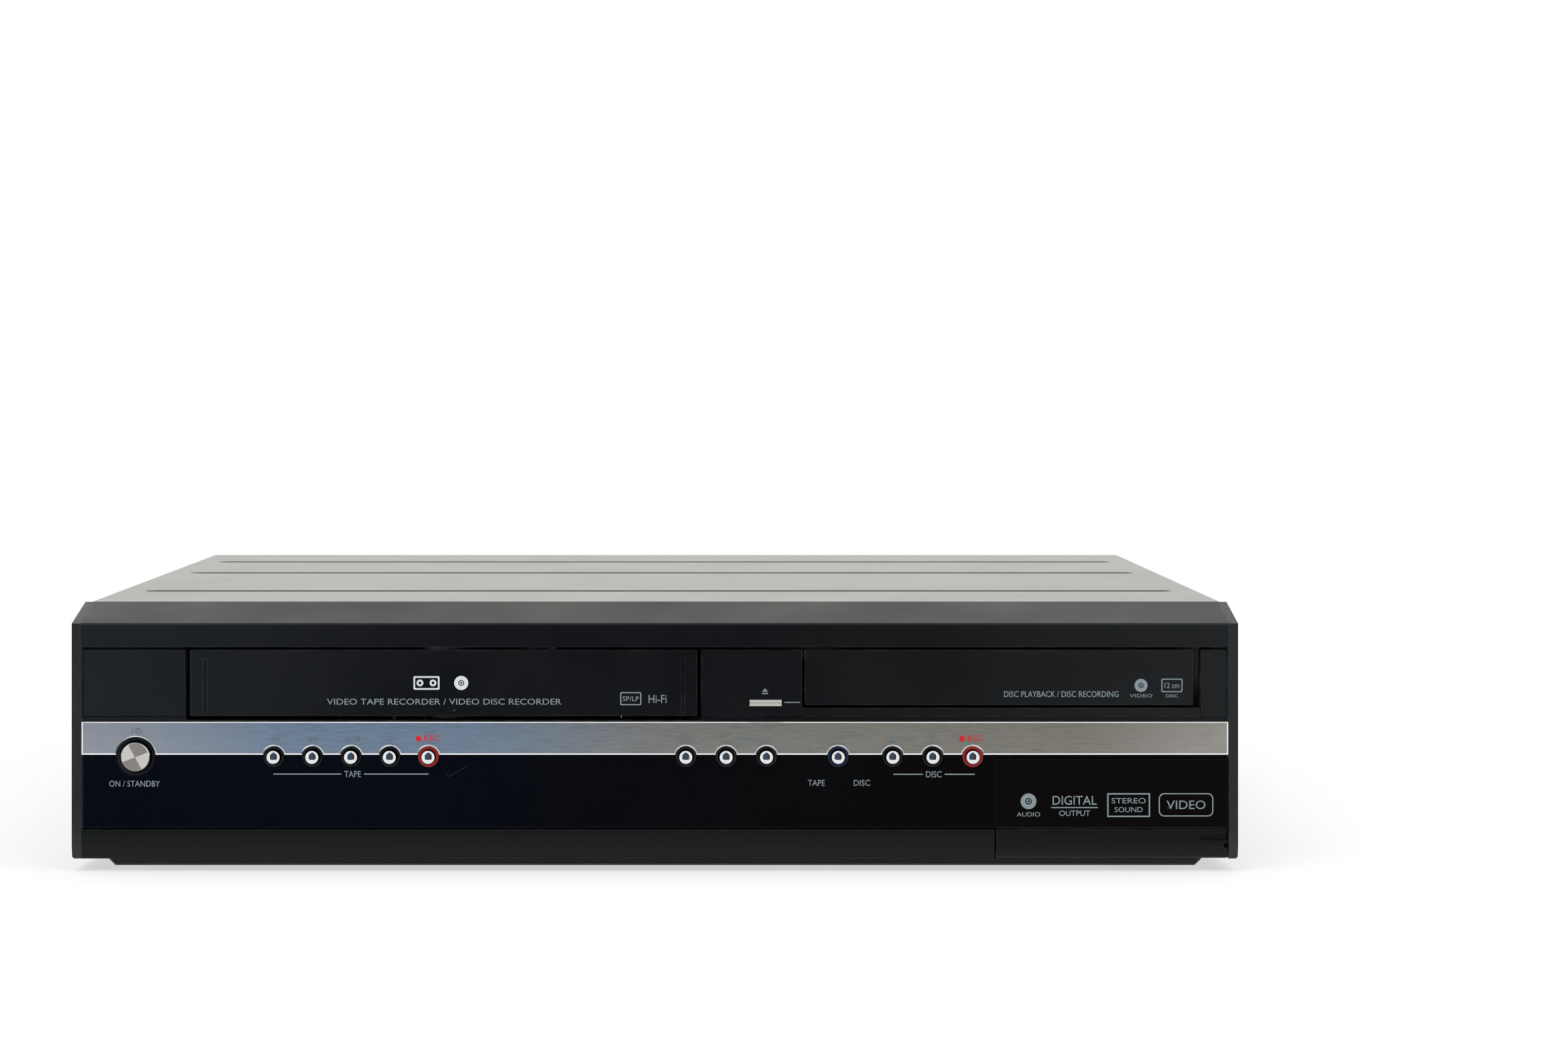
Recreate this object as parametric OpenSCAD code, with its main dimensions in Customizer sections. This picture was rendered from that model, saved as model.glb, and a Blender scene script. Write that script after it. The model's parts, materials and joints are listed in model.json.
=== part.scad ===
// Combined disc and tape recorder in a full-width cabinet, as separate pieces.
// X runs to the right, Y to the rear, Z up. The origin is the centre of the footprint on the table.

/* [Cabinet] */
// Width over the front frame
cabinet_w = 430; // [425:1:450]
// Depth from the front face to the rear panel
cabinet_d = 350; // [345:1:380]
// Height of the cover's top above the table
cabinet_h = 97.9; // [97:0.1:110]
// How much narrower the cover is than the front frame, on each side
cover_inset = 1.5; // [1:0.1:2.2]
// Thickness of the painted sheet metal
sheet_t = 0.8; // [0.6:0.1:1.0]
// Depth of the front frame's sloped top
frame_depth = 28; // [25:1:30]
// Rise of the front frame's sloped top
bevel_rise = 6.1; // [5:0.1:6.5]
// Wall of the moulded front frame
frame_wall = 3; // [2.4:0.1:3.2]
// Height of the front frame's lower edge above the table
frame_bottom = 4.9; // [4.6:0.1:6]
// Width of the plain strip at each end of the front
side_strip = 4.1; // [3.6:0.1:5]
// Depth of each pressed bead in the cover
bead_depth = 1.2; // [0.8:0.1:1.6]
// Width of each pressed bead in the cover
bead_w = 8; // [6:0.5:10]
// Diameter of a foot
foot_d = 18; // [14:1:22]
// Gap between the base pan and the table
foot_clear = 2.1; // [1.8:0.1:3]

/* [Front panel] */
// Height of the matt lip under the window
lip_h = 11.6; // [11:0.1:13]
// Height of the plain bar over the doors
top_bar_h = 8.8; // [7.5:0.1:9.5]
// Thickness of the gloss window
window_t = 2.2; // [1.8:0.1:2.4]
// Height of the aluminium trim strip
trim_h = 12.1; // [10:0.1:13]
// Thickness of the aluminium trim strip
trim_t = 1.2; // [1:0.1:1.4]
// How far the trim strip stands out of the front
trim_proud = 0.4; // [0.2:0.1:0.6]
// Bright chamfer on the trim strip's edges
trim_chamfer = 0.5; // [0.3:0.05:0.6]
// Share of the width left over by slot, tray and right panel that the left panel takes
left_panel_share = 0.504; // [0.45:0.01:0.53]
// Width of the blank panel right of the disc tray
right_panel_w = 9.9; // [8:0.1:11]
// Depth of the recess that the doors and panels lie in
band_recess = 0.6; // [0.4:0.1:0.8]

/* [Controls] */
// Diameter of a small key
key_d = 4.75; // [4:0.05:5.2]
// How far a key's dome stands out of the front
key_out = 3; // [2.4:0.1:3.6]
// Travel of a key
key_travel = 0.8; // [0.5:0.1:0.9]
// Outer diameter of the ring round a key
collar_d = 7.5; // [7:0.1:8]
// Pitch of the tape keys
tape_key_pitch = 14.25; // [12:0.05:15]
// Pitch of the channel keys
channel_key_pitch = 14.85; // [12:0.05:15]
// Pitch of the disc keys
disc_key_pitch = 14.75; // [12:0.05:14.8]
// Diameter of the power button
power_d = 10.9; // [10:0.1:11.5]
// Outer diameter of the ring round the power button
power_collar_d = 14.4; // [14.2:0.1:15]
// Length of the eject bar
eject_w = 11.9; // [10:0.1:13]
// Height of the eject bar
eject_h = 2.2; // [2:0.1:3]
// Share of the room beside the eject bar that lies on its left
eject_share = 0.7; // [0.5:0.01:0.75]

/* [Tape deck] */
// Width of a tape cassette
cassette_w = 187; // [187:0.5:189]
// Depth of a tape cassette
cassette_d = 104; // [102:0.5:106]
// Height of a tape cassette
cassette_h = 25; // [24.5:0.1:25.2]
// How far the carriage carries the cassette inwards
shuttle_travel = 70; // [66:1:72]
// How far the carriage lowers the cassette
carriage_drop = 22; // [20:0.5:22.5]
// Distance between the two reel centres
reel_pitch = 92; // [88:1:94]
// Diameter of the head drum
drum_d = 62; // [60:0.5:64]
// Tilt of the head drum
drum_tilt = 5; // [4:0.5:6]
// Diameter of the capstan shaft
capstan_d = 3; // [2.5:0.1:3.4]
// Diameter of the pinch roller
pinch_d = 13; // [12:0.5:14]
// Thickness of the deck plate
deck_t = 1.6; // [1.2:0.1:2]

/* [Disc drive] */
// Width of the disc tray's front
tray_front_w = 143.2; // [142:0.1:144]
// Height of the disc tray's front
tray_front_h = 20.4; // [19:0.1:20.6]
// How far the disc tray opens
tray_travel = 140; // [120:1:142]
// Diameter of a disc
disc_d = 120; // [118:1:122]
// Lift of the pickup frame
pickup_lift = 4; // [3:0.25:4.5]
// Travel of the laser sled
sled_travel = 34; // [30:1:36]

/* [Rear] */
// Size of the square fan
fan_size = 60; // [56:1:62]
// Turning clearance round the fan's blades
fan_gap = 0.8; // [0.6:0.1:1.2]
// How far the phono jacks stand out of the rear panel
jack_out = 8; // [6:0.5:10]
// Pitch of the phono jacks
jack_pitch = 14; // [13:0.5:15]

/* [Hidden] */
$fn = 64;
// Clearances: running fit of a shaft, sliding gap, seam between panels
running = 0.05;
sliding = 0.3;
seam = 0.2;
// Overshoot of a cut past the face it goes through
eps = 1;

// Cabinet levels and faces
front_y = -(key_out + cabinet_d + jack_out) / 2 + key_out;
rear_y = front_y + cabinet_d;
half_w = cabinet_w / 2;
cover_half = half_w - cover_inset;
front_top = cabinet_h - bevel_rise;
pan_top = foot_clear + sheet_t;
base_d0 = window_t;
base_d1 = base_d0 + frame_wall;
inner_half = half_w - frame_wall;
bay_half = cover_half - sheet_t - seam;

// Front panel stack: the window takes the height that the rest leaves
slot_margin = 1;
slot_h = cassette_h + 2 * slot_margin;
slot_z1 = front_top - top_bar_h;
slot_z0 = slot_z1 - slot_h;
trim_z1 = slot_z0 - slot_margin / 2;
trim_z0 = trim_z1 - trim_h;
window_z0 = frame_bottom + lip_h;
window_z1 = trim_z0 - seam;
window_h = window_z1 - window_z0;
band_half = half_w - side_strip;
key_z = window_z1 - collar_d / 13;

// Cassette slot and door
door_gap = 1.45;
slot_w = cassette_w + 2 * door_gap;
tray_gap = 0.8;
tray_gap_right = 2.6;
tray_open_w = tray_gap + tray_front_w + tray_gap_right;
left_panel_w = tenths(left_panel_share * (2 * band_half - slot_w - tray_open_w - right_panel_w));
tape_x = -band_half + left_panel_w + slot_w / 2;
door_t = 2.4;
door_w = slot_w - 2 * door_gap;
door_z0 = slot_z0 + 1.6;
door_z1 = slot_z1 - slot_margin;
door_axis_d = 4.8;
door_axis_z = slot_z1 + 3.6;

// Disc tray opening and front
disc_x = band_half - right_panel_w - tray_gap_right - tray_front_w / 2;
tray_z1 = door_z1;
tray_z0 = tray_z1 - tray_front_h;

// Front flap
flap_w = 85.3;
flap_x1 = band_half + 0.1;
flap_x0 = flap_x1 - flap_w;
flap_z1 = window_z1 - 1.4;
flap_t = 2.4;
flap_axis_d = 2.4;
flap_axis_z = frame_bottom + 2.1;
flap_barrel_r = 2;

function at_depth(d) = front_y + d;

// A length to the nearest tenth of a millimetre
function tenths(length) = round(10 * length) / 10;

// Box between two limits on each axis
module slab(x, y, z) {
    translate([x[0], y[0], z[0]])
        cube([x[1] - x[0], y[1] - y[0], z[1] - z[0]]);
}

// Box with its depth counted from the front face
module front_slab(x, d, z) {
    slab(x, [at_depth(d[0]), at_depth(d[1])], z);
}

// Round bar along Y from one depth to another
module front_bar(x, z, d, r) {
    translate([x, at_depth(d[0]), z])
        rotate([-90, 0, 0])
            cylinder(r = r, h = d[1] - d[0]);
}

// Cone along Y, given by its two radii
module front_cone(x, z, d, r) {
    translate([x, at_depth(d[0]), z])
        rotate([-90, 0, 0])
            cylinder(r1 = r[0], r2 = r[1], h = d[1] - d[0]);
}

// Upright round bar
module post(x, y, z, r) {
    translate([x, y, z[0]])
        cylinder(r = r, h = z[1] - z[0]);
}

// Outline in depth and height, run along X
module run_x(x, outline) {
    translate([x[0], front_y, 0])
        rotate([90, 0, 90])
            linear_extrude(x[1] - x[0])
                polygon(outline);
}

// Rectangle with round corners
module round_rect(w, h, r) {
    square([w - 2 * r, h], center = true);
    square([w, h - 2 * r], center = true);
    for (sx = [-1, 1], sz = [-1, 1])
        translate([sx * (w / 2 - r), sz * (h / 2 - r)])
            circle(r = r);
}

// Plate with round corners, flat in a vertical plane
module front_round_slab(x, d, z, r) {
    translate([(x[0] + x[1]) / 2, at_depth(d[1]), (z[0] + z[1]) / 2])
        rotate([90, 0, 0])
            linear_extrude(d[1] - d[0])
                round_rect(x[1] - x[0], z[1] - z[0], r);
}

// Keys along the window's top edge, left to right
tape_keys_x0 = tape_x - 62.5;
channel_keys_x = disc_x - 100.55;
dubbing_x = disc_x - 59.3;
disc_keys_x = disc_x - 24.45;
power_x = -band_half + 19.6;
tape_key_xs = [for (k = [0:4]) tape_keys_x0 + k * tape_key_pitch];
channel_key_xs = [for (k = [-1:1]) channel_keys_x + k * channel_key_pitch];
disc_key_xs = [for (k = [-1:1]) disc_keys_x + k * disc_key_pitch];
key_xs = concat(tape_key_xs, channel_key_xs, [dubbing_x], disc_key_xs);
key_bore_r = key_d / 2 + sliding / 2;
power_bore_r = power_d / 2 + sliding / 2;
collar_back_d = base_d1;
collar_proud = 0.6;

// Cassette slot's and disc opening's outer limits, and the eject bar between them
slot_x = [tape_x - slot_w / 2, tape_x + slot_w / 2];
tray_open_x = [disc_x - tray_front_w / 2 - tray_gap, disc_x + tray_front_w / 2 + tray_gap_right];
eject_x = tenths(slot_x[1] + eject_w / 2 + eject_share * (tray_open_x[0] - slot_x[1] - eject_w));
eject_z = tray_z0 + 0.9;
panel_d0 = band_recess / 2;
ledge_h = 1.9;
ledge_d0 = 0.9;
panel_inset = 0.2;

// Sloped foot of the lip
lip_slope_h = 4.9;
lip_slope_d = 1.2;
groove_h = 0.7;

// Window, trim and display aperture
window_x1 = flap_x0 - seam;
trim_half = band_half + 0.4;
trim_back_d = trim_t - trim_proud;
display_x = disc_x - 100;
display_w = 104;
display_z0 = window_z0 + 3;
display_h = window_h - 9.7;

// Compartment behind the flap
flap_gap = 0.5;
bay_margin = 1.8;
av_x = [flap_x0 + bay_margin, flap_x1 - bay_margin];
av_z = [flap_axis_z + flap_barrel_r + bay_margin, flap_z1 - bay_margin];
av_back_d = frame_depth - 3.5;

// Board behind the front, and its posts
board_t = 1.6;
board_d0 = 20;
front_board_x = [-band_half + 2, flap_x0 - 3];
front_board_z = [frame_bottom + 4, slot_z0 - 2];
front_post_r = 3;
front_post_xz = [
    [front_board_x[0] + 5, front_board_z[0] + 4],
    [tape_x, front_board_z[0] + 4],
    [front_board_x[1] - 5, front_board_z[0] + 4],
    [tape_x - 86, front_board_z[1] - 4],
    [channel_keys_x - 34, front_board_z[1] - 4]
];

// Cassette door's hinge arms and the lugs that hold their pins
pin_r = 1.2;
arm_r = 2.2;
arm_in = 4.5;
arm_w = 2.5;
lug_w = 4;
lug_x = door_w / 2 - arm_in + arm_w + 0.4;
lug_d1 = door_axis_d + 3.8;

module door_lug(side) {
    lug_mid = tape_x + side * (lug_x + lug_w / 2);
    lug_xs = [lug_mid - lug_w / 2, lug_mid + lug_w / 2];
    front_slab(lug_xs, [base_d1 - eps, lug_d1], [slot_z1 + 0.6, door_axis_z + 2.6]);
}

module front_frame_solid() {
    lip_outline = [
        [lip_slope_d, frame_bottom],
        [0, frame_bottom + lip_slope_h],
        [0, window_z0 - groove_h],
        [base_d0, window_z0 - groove_h],
        [base_d0, frame_bottom]
    ];
    side_outline = [
        [lip_slope_d, frame_bottom],
        [0, frame_bottom + lip_slope_h],
        [0, front_top],
        [frame_depth, cabinet_h],
        [frame_depth, frame_bottom]
    ];
    edge = 0.5;
    top_outline = [
        [0, front_top - frame_wall],
        [0, front_top - edge],
        [edge, front_top + edge * bevel_rise / frame_depth],
        [frame_depth, cabinet_h],
        [frame_depth, cabinet_h - frame_wall]
    ];
    front_slab([-half_w, half_w], [base_d0, base_d1], [frame_bottom, front_top - edge]);
    run_x([-half_w, half_w], lip_outline);
    run_x([-half_w, half_w], top_outline);
    for (x0 = [-half_w, inner_half])
        run_x([x0, x0 + frame_wall], side_outline);
    for (x0 = [-half_w, band_half])
        front_slab([x0, x0 + side_strip], [0, base_d0], [frame_bottom + lip_slope_h, front_top - edge]);
    front_slab([-half_w, half_w], [0, base_d0], [slot_z1, front_top - edge]);
    front_slab([-half_w, half_w], [trim_back_d, base_d0], [window_z1, trim_z1]);
    // Blank panels and the ledge under them
    for (x = [[-band_half, slot_x[0]], [slot_x[1], tray_open_x[0]], [tray_open_x[1], band_half]])
        front_slab([x[0] + panel_inset, x[1] - panel_inset], [panel_d0, base_d0], [door_z0, door_z1]);
    front_slab([-band_half, band_half], [ledge_d0, base_d0], [trim_z1, trim_z1 + ledge_h]);
    front_slab(tray_open_x, [panel_d0, base_d0], [trim_z1 + ledge_h, tray_z0]);
    // Inner walls and the tongue that the cover seats on
    front_slab([-inner_half - eps, inner_half + eps], [base_d0, base_d1 + 9], [frame_bottom, frame_bottom + frame_wall]);
    tongue_d = [frame_depth - 3, frame_depth + 8];
    tongue_z1 = cabinet_h - sheet_t - seam;
    front_slab([-bay_half + 4, bay_half - 4], tongue_d, [tongue_z1 - 2, tongue_z1]);
    for (side = [-1, 1])
        front_slab([side * bay_half - 1 - side, side * bay_half + 1 - side], tongue_d, [frame_bottom + 6, front_top - 4]);
    for (p = front_post_xz)
        front_bar(p[0], p[1], [base_d0, board_d0], front_post_r);
    for (side = [-1, 1])
        door_lug(side);
}

module front_frame_cuts() {
    // Cassette slot, with room for the door's arms above it
    front_slab(slot_x, [-eps, base_d1 + eps], [slot_z0, slot_z1]);
    for (side = [-1, 1]) {
        arm_mid = tape_x + side * (door_w / 2 - arm_in + arm_w / 2);
        arm_xs = [arm_mid - arm_w / 2 - 0.4, arm_mid + arm_w / 2 + 0.4];
        front_slab(arm_xs, [base_d0, lug_d1 + eps], [slot_z1 - eps, door_axis_z + arm_r + 0.6]);
    }
    translate([tape_x - lug_x - lug_w - 0.1, at_depth(door_axis_d), door_axis_z])
        rotate([0, 90, 0])
            cylinder(r = pin_r + running, h = 2 * (lug_x + lug_w + 0.1));
    // Disc tray opening
    front_slab(tray_open_x, [-eps, base_d1 + eps], [tray_z0 - 1, slot_z1]);
    // Trim strip's seat and the display's aperture
    front_slab([-trim_half - seam, trim_half + seam], [-eps, trim_back_d], [window_z1, trim_z1]);
    front_slab([display_x - display_w / 2, display_x + display_w / 2], [-eps, base_d1 + eps],
        [display_z0, display_z0 + display_h]);
    // Keys, power button and eject bar
    for (x = key_xs)
        front_bar(x, key_z, [-eps, base_d1 + eps], collar_d / 2 + running);
    front_bar(power_x, key_z, [-eps, base_d1 + eps], power_collar_d / 2 + running);
    front_slab([eject_x - eject_w / 2 - sliding, eject_x + eject_w / 2 + sliding], [-eps, base_d1 + eps],
        [eject_z - eject_h / 2 - sliding, eject_z + eject_h / 2 + sliding]);
    // Flap's pocket, its barrel's trough and pin holes, and the compartment's mouth
    pocket_x = [flap_x0 - flap_gap, flap_x1 + flap_gap];
    front_slab(pocket_x, [-eps, flap_t + flap_gap], [frame_bottom - eps, flap_z1 + flap_gap]);
    front_slab(pocket_x, [-eps, flap_axis_d + flap_barrel_r + 0.4],
        [frame_bottom - eps, flap_axis_z + flap_barrel_r + 0.6]);
    front_slab(av_x, [-eps, base_d1 + eps], av_z);
    translate([flap_x0 - 2.8, at_depth(flap_axis_d), flap_axis_z])
        rotate([0, 90, 0])
            cylinder(r = 1 + running, h = flap_w + 5.4);
}

module front_bezel() {
    color([0.045, 0.05, 0.055])
        intersection() {
            difference() {
                front_frame_solid();
                front_frame_cuts();
            }
            front_round_slab([-half_w, half_w], [-eps, frame_depth + 20], [frame_bottom, cabinet_h + 4], 1);
        }
}

// Cover: a folded sheet with pressed beads, side vents and screw holes
cover_y = [at_depth(frame_depth) + seam, rear_y];
bead_depths = [90, 209, 293];
bead_half = cover_half - 9.5;
bead_r = (bead_w * bead_w / 4 + bead_depth * bead_depth) / (2 * bead_depth);
fold_r = 1.6;
screw_r = 1.5;
side_screw_ys = [at_depth(60), rear_y - 50];
rear_screw_xs = [-150, -10, 140];
screw_z = 12;
rear_screw_z = 6;
vent_count = 14;
vent_pitch = 9;
vent_w = 3;
vent_z = [52, 76];

module cover_outline() {
    side_h = cabinet_h - frame_bottom;
    translate([0, frame_bottom])
        difference() {
            round_rect(2 * cover_half, 2 * side_h, fold_r);
            round_rect(2 * (cover_half - sheet_t), 2 * (side_h - sheet_t), fold_r - sheet_t);
            translate([-half_w, -side_h - eps])
                square([2 * half_w, side_h + eps]);
        }
}

module bead_bar(depth, r) {
    translate([0, at_depth(depth), cabinet_h - bead_depth + bead_r]) {
        translate([-bead_half, 0, 0])
            rotate([0, 90, 0])
                cylinder(r = r, h = 2 * bead_half);
        for (side = [-1, 1])
            translate([side * bead_half, 0, 0])
                sphere(r = r);
    }
}

module side_screw_holes(r) {
    for (y = side_screw_ys)
        translate([-half_w, y, screw_z])
            rotate([0, 90, 0])
                cylinder(r = r, h = 2 * half_w);
}

module top_cover() {
    color([0.05, 0.05, 0.055])
        difference() {
            union() {
                translate([0, cover_y[1], 0])
                    rotate([90, 0, 0])
                        linear_extrude(cover_y[1] - cover_y[0])
                            cover_outline();
                intersection() {
                    union() {
                        for (depth = bead_depths)
                            bead_bar(depth, bead_r + sheet_t);
                    }
                    slab([-cover_half + 2, cover_half - 2], cover_y, [cabinet_h - 9, cabinet_h - sheet_t / 2]);
                }
            }
            for (depth = bead_depths)
                bead_bar(depth, bead_r);
            for (k = [0:vent_count - 1]) {
                y = (k - (vent_count - 1) / 2) * vent_pitch;
                slab([-half_w, half_w], [y - vent_w / 2, y + vent_w / 2], vent_z);
            }
            side_screw_holes(screw_r + running);
        }
}

// Base pan: the floor is pressed down between two edge ledges
pan_half = half_w - 15.5;
pan_step = frame_bottom - foot_clear;
pan_flange_z = 24;
pan_front_d = 4;
pan_side = bay_half - 0.1;
pan_rear_y = rear_y - sheet_t;

module pan_outline() {
    bottom = [[pan_half, foot_clear], [pan_half + pan_step, frame_bottom], [pan_side, frame_bottom],
        [pan_side, pan_flange_z]];
    top = [[pan_side - sheet_t, pan_flange_z], [pan_side - sheet_t, frame_bottom + sheet_t],
        [pan_half + pan_step - sheet_t / 2, frame_bottom + sheet_t], [pan_half - sheet_t / 2, pan_top]];
    right = concat(bottom, top);
    polygon(concat(right, [for (k = [len(right) - 1:-1:0]) [-right[k][0], right[k][1]]]));
}

module pan_run(y) {
    translate([0, y[1], 0])
        rotate([90, 0, 0])
            linear_extrude(y[1] - y[0])
                children();
}

module chassis_pan() {
    full_y = [at_depth(frame_depth + 8.5), pan_rear_y];
    color([0.62, 0.64, 0.65])
        difference() {
            union() {
                pan_run(full_y)
                    pan_outline();
                pan_run([at_depth(pan_front_d), full_y[0] + eps])
                    intersection() {
                        pan_outline();
                        translate([-half_w, 0])
                            square([cabinet_w, frame_bottom - seam]);
                    }
                slab([-pan_half + 4, pan_half - 4], [pan_rear_y - sheet_t, pan_rear_y], [foot_clear, board_z[0] - 0.5]);
            }
            side_screw_holes(screw_r + running);
            for (x = rear_screw_xs)
                rear_bar(x, rear_screw_z, [-4, 1], screw_r + running);
            // Air slots under the power supply
            for (k = [0:7])
                slab([power_board_x[0] + 20, power_board_x[1] - 20],
                    [rear_y - 60 - k * 9, rear_y - 57 - k * 9], [0, pan_top + eps]);
        }
}

// Round bar along Y, its depth counted from the rear panel's outer face
module rear_bar(x, z, out, r) {
    front_bar(x, z, [cabinet_d + out[0], cabinet_d + out[1]], r);
}

// Rear connectors
board_z = [pan_top + 7, pan_top + 7 + board_t];
fan_x = 0.235 * bay_half;
board_gap = 8;
main_board_x = [-bay_half + 7, fan_x + 4];
main_board_d = 59;
main_board_y = [rear_y - 3 - main_board_d, rear_y - 3];
power_board_x = [main_board_x[1] + board_gap, bay_half - 7];
power_board_d = 147;
power_board_y = [rear_y - 3 - power_board_d, rear_y - 3];
fan_z = cabinet_h / 2 + 6;
fan_depth = 10;
fan_bore_r = fan_size / 2 - 1.2;
grille_r = fan_bore_r - 2;
aerial_x = -bay_half + 21;
aerial_zs = [27, 50];
jack_cols = 4;
jack_rows = 3;
jack_x0 = aerial_x + 20;
jack_z0 = 20;
jack_r = 4.2;
jack_block_half = jack_pitch / 2 - 0.5;
jack_x1 = jack_x0 + (jack_cols - 1) * jack_pitch + jack_block_half;
scart_w = 47;
scart_gap = 4;
scart_x0 = jack_x1 + scart_gap + scart_w / 2;
scart_xs = [scart_x0, scart_x0 + scart_w + scart_gap];
scart_h = 15;
scart_z = board_z[1] + 1 + scart_h / 2;
inlet_x = bay_half - 32;
inlet_w = 25;
inlet_h = 17;
inlet_z = board_z[1] + 1 + inlet_h / 2;
inlet_out = 1.5;
inlet_pin_x = 4.3;

module grille_slots(pitch, slot) {
    rows = floor(grille_r / pitch);
    for (k = [-rows:rows]) {
        half = sqrt(grille_r * grille_r - k * k * pitch * pitch);
        if (half > slot)
            slab([fan_x - half, fan_x + half], [pan_rear_y - eps, rear_y + eps],
                [fan_z + k * pitch - slot / 2, fan_z + k * pitch + slot / 2]);
    }
}

module rear_panel() {
    top_z = cabinet_h - sheet_t - seam;
    color([0.07, 0.07, 0.075])
        difference() {
            front_round_slab([-bay_half, bay_half], [cabinet_d - sheet_t, cabinet_d], [foot_clear, top_z], 1);
            grille_slots(5.5, 3);
            for (x = rear_screw_xs)
                rear_bar(x, rear_screw_z, [-2, 1], screw_r + running);
            for (z = aerial_zs)
                rear_bar(aerial_x, z, [-2, 1], 6.5);
            for (col = [0:jack_cols - 1], row = [0:jack_rows - 1])
                rear_bar(jack_x0 + col * jack_pitch, jack_z0 + row * jack_pitch, [-2, 1], jack_r + 1);
            for (x = scart_xs)
                slab([x - scart_w / 2 - seam, x + scart_w / 2 + seam], [pan_rear_y - eps, rear_y + eps],
                    [scart_z - scart_h / 2 - seam, scart_z + scart_h / 2 + seam]);
            slab([inlet_x - inlet_w / 2 - seam, inlet_x + inlet_w / 2 + seam], [pan_rear_y - eps, rear_y + eps],
                [inlet_z - inlet_h / 2 - seam, inlet_z + inlet_h / 2 + seam]);
        }
}

module feet() {
    foot_x = pan_half - 28;
    color([0.06, 0.06, 0.065])
        for (sx = [-1, 1], y = [at_depth(27), rear_y - 35])
            translate([sx * foot_x, y, 0]) {
                cylinder(r1 = foot_d / 2 - 0.8, r2 = foot_d / 2, h = foot_clear / 2);
                translate([0, 0, foot_clear / 2])
                    cylinder(d = foot_d, h = foot_clear / 2);
            }
}

// Pan-head screw pointing along +Z, its head under the origin
module screw(head_r, head_h, length) {
    difference() {
        translate([0, 0, -head_h])
            cylinder(r1 = head_r - 0.5, r2 = head_r, h = head_h);
        for (turn = [0, 90])
            rotate([0, 0, turn])
                translate([-head_r / 2, -0.35, -head_h - eps])
                    cube([head_r, 0.7, eps + head_h / 2]);
    }
    cylinder(r = screw_r, h = length);
}

module cover_screws() {
    head_h = 1.3;
    color([0.1, 0.1, 0.1]) {
        for (side = [-1, 1], y = side_screw_ys)
            translate([side * cover_half, y, screw_z])
                rotate([0, -side * 90, 0])
                    screw(3, head_h, 6);
        for (x = rear_screw_xs)
            translate([x, rear_y, rear_screw_z])
                rotate([90, 0, 0])
                    screw(3, head_h, 6);
    }
}

module trim_strip() {
    face = -trim_proud;
    outline = [
        [trim_back_d, trim_z0],
        [trim_back_d, trim_z1],
        [face + trim_chamfer, trim_z1],
        [face, trim_z1 - trim_chamfer],
        [face, trim_z0 + trim_chamfer],
        [face + trim_chamfer, trim_z0]
    ];
    plan = [
        [-trim_half, trim_back_d],
        [-trim_half, face + trim_chamfer],
        [-trim_half + trim_chamfer, face],
        [trim_half - trim_chamfer, face],
        [trim_half, face + trim_chamfer],
        [trim_half, trim_back_d]
    ];
    key_cut = collar_d / 2 + 0.55;
    power_cut = power_collar_d / 2 + 0.37;
    color([0.75, 0.76, 0.78])
        difference() {
            intersection() {
                run_x([-trim_half, trim_half], outline);
                translate([0, front_y, trim_z0 - eps])
                    linear_extrude(trim_h + 2 * eps)
                        polygon(plan);
            }
            for (x = key_xs) {
                front_bar(x, key_z, [-eps, trim_back_d + eps], key_cut);
                front_cone(x, key_z, [face - eps, face + trim_chamfer], [key_cut + trim_chamfer + eps, key_cut]);
            }
            front_bar(power_x, key_z, [-eps, trim_back_d + eps], power_cut);
            front_cone(power_x, key_z, [face - eps, face + trim_chamfer],
                [power_cut + trim_chamfer + eps, power_cut]);
        }
}

module display_window() {
    color([0.01, 0.01, 0.015])
        difference() {
            front_slab([-band_half + seam / 2, window_x1], [0, window_t], [window_z0, window_z1]);
            for (x = key_xs)
                front_bar(x, key_z, [-eps, window_t + eps], collar_d / 2 + running);
            front_bar(power_x, key_z, [-eps, window_t + eps], power_collar_d / 2 + running);
        }
}

// Ring with a dished front edge, through the window and the frame
module collar(x, ring_r, bore_r) {
    dish = 0.9;
    difference() {
        front_bar(x, key_z, [-collar_proud, collar_back_d], ring_r);
        front_bar(x, key_z, [-collar_proud - eps, collar_back_d + eps], bore_r);
        front_cone(x, key_z, [-collar_proud - eps / 10, -collar_proud + dish], [bore_r + dish + eps / 10, bore_r]);
    }
}

module button_collars() {
    color([0.02, 0.02, 0.02]) {
        collar(power_x, power_collar_d / 2, power_bore_r);
        for (x = concat([for (k = [0:3]) tape_key_xs[k]], channel_key_xs, [disc_key_xs[0], disc_key_xs[1]]))
            collar(x, collar_d / 2, key_bore_r);
    }
}

module record_collars() {
    color([0.6, 0.03, 0.03])
        for (x = [tape_key_xs[4], disc_key_xs[2]])
            collar(x, collar_d / 2, key_bore_r);
}

module dubbing_collar() {
    color([0.03, 0.05, 0.25])
        collar(dubbing_x, collar_d / 2, key_bore_r);
}

// Controls: a head, a flange that keeps it in, and a stem that reaches its switch
flange_gap = 0.4;
flange_t = 1;
switch_h = 4.4;
stem_r = 1.5;
stem_end_d = board_d0 - switch_h - key_travel - sliding;
dome_h = 1.2;

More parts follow.
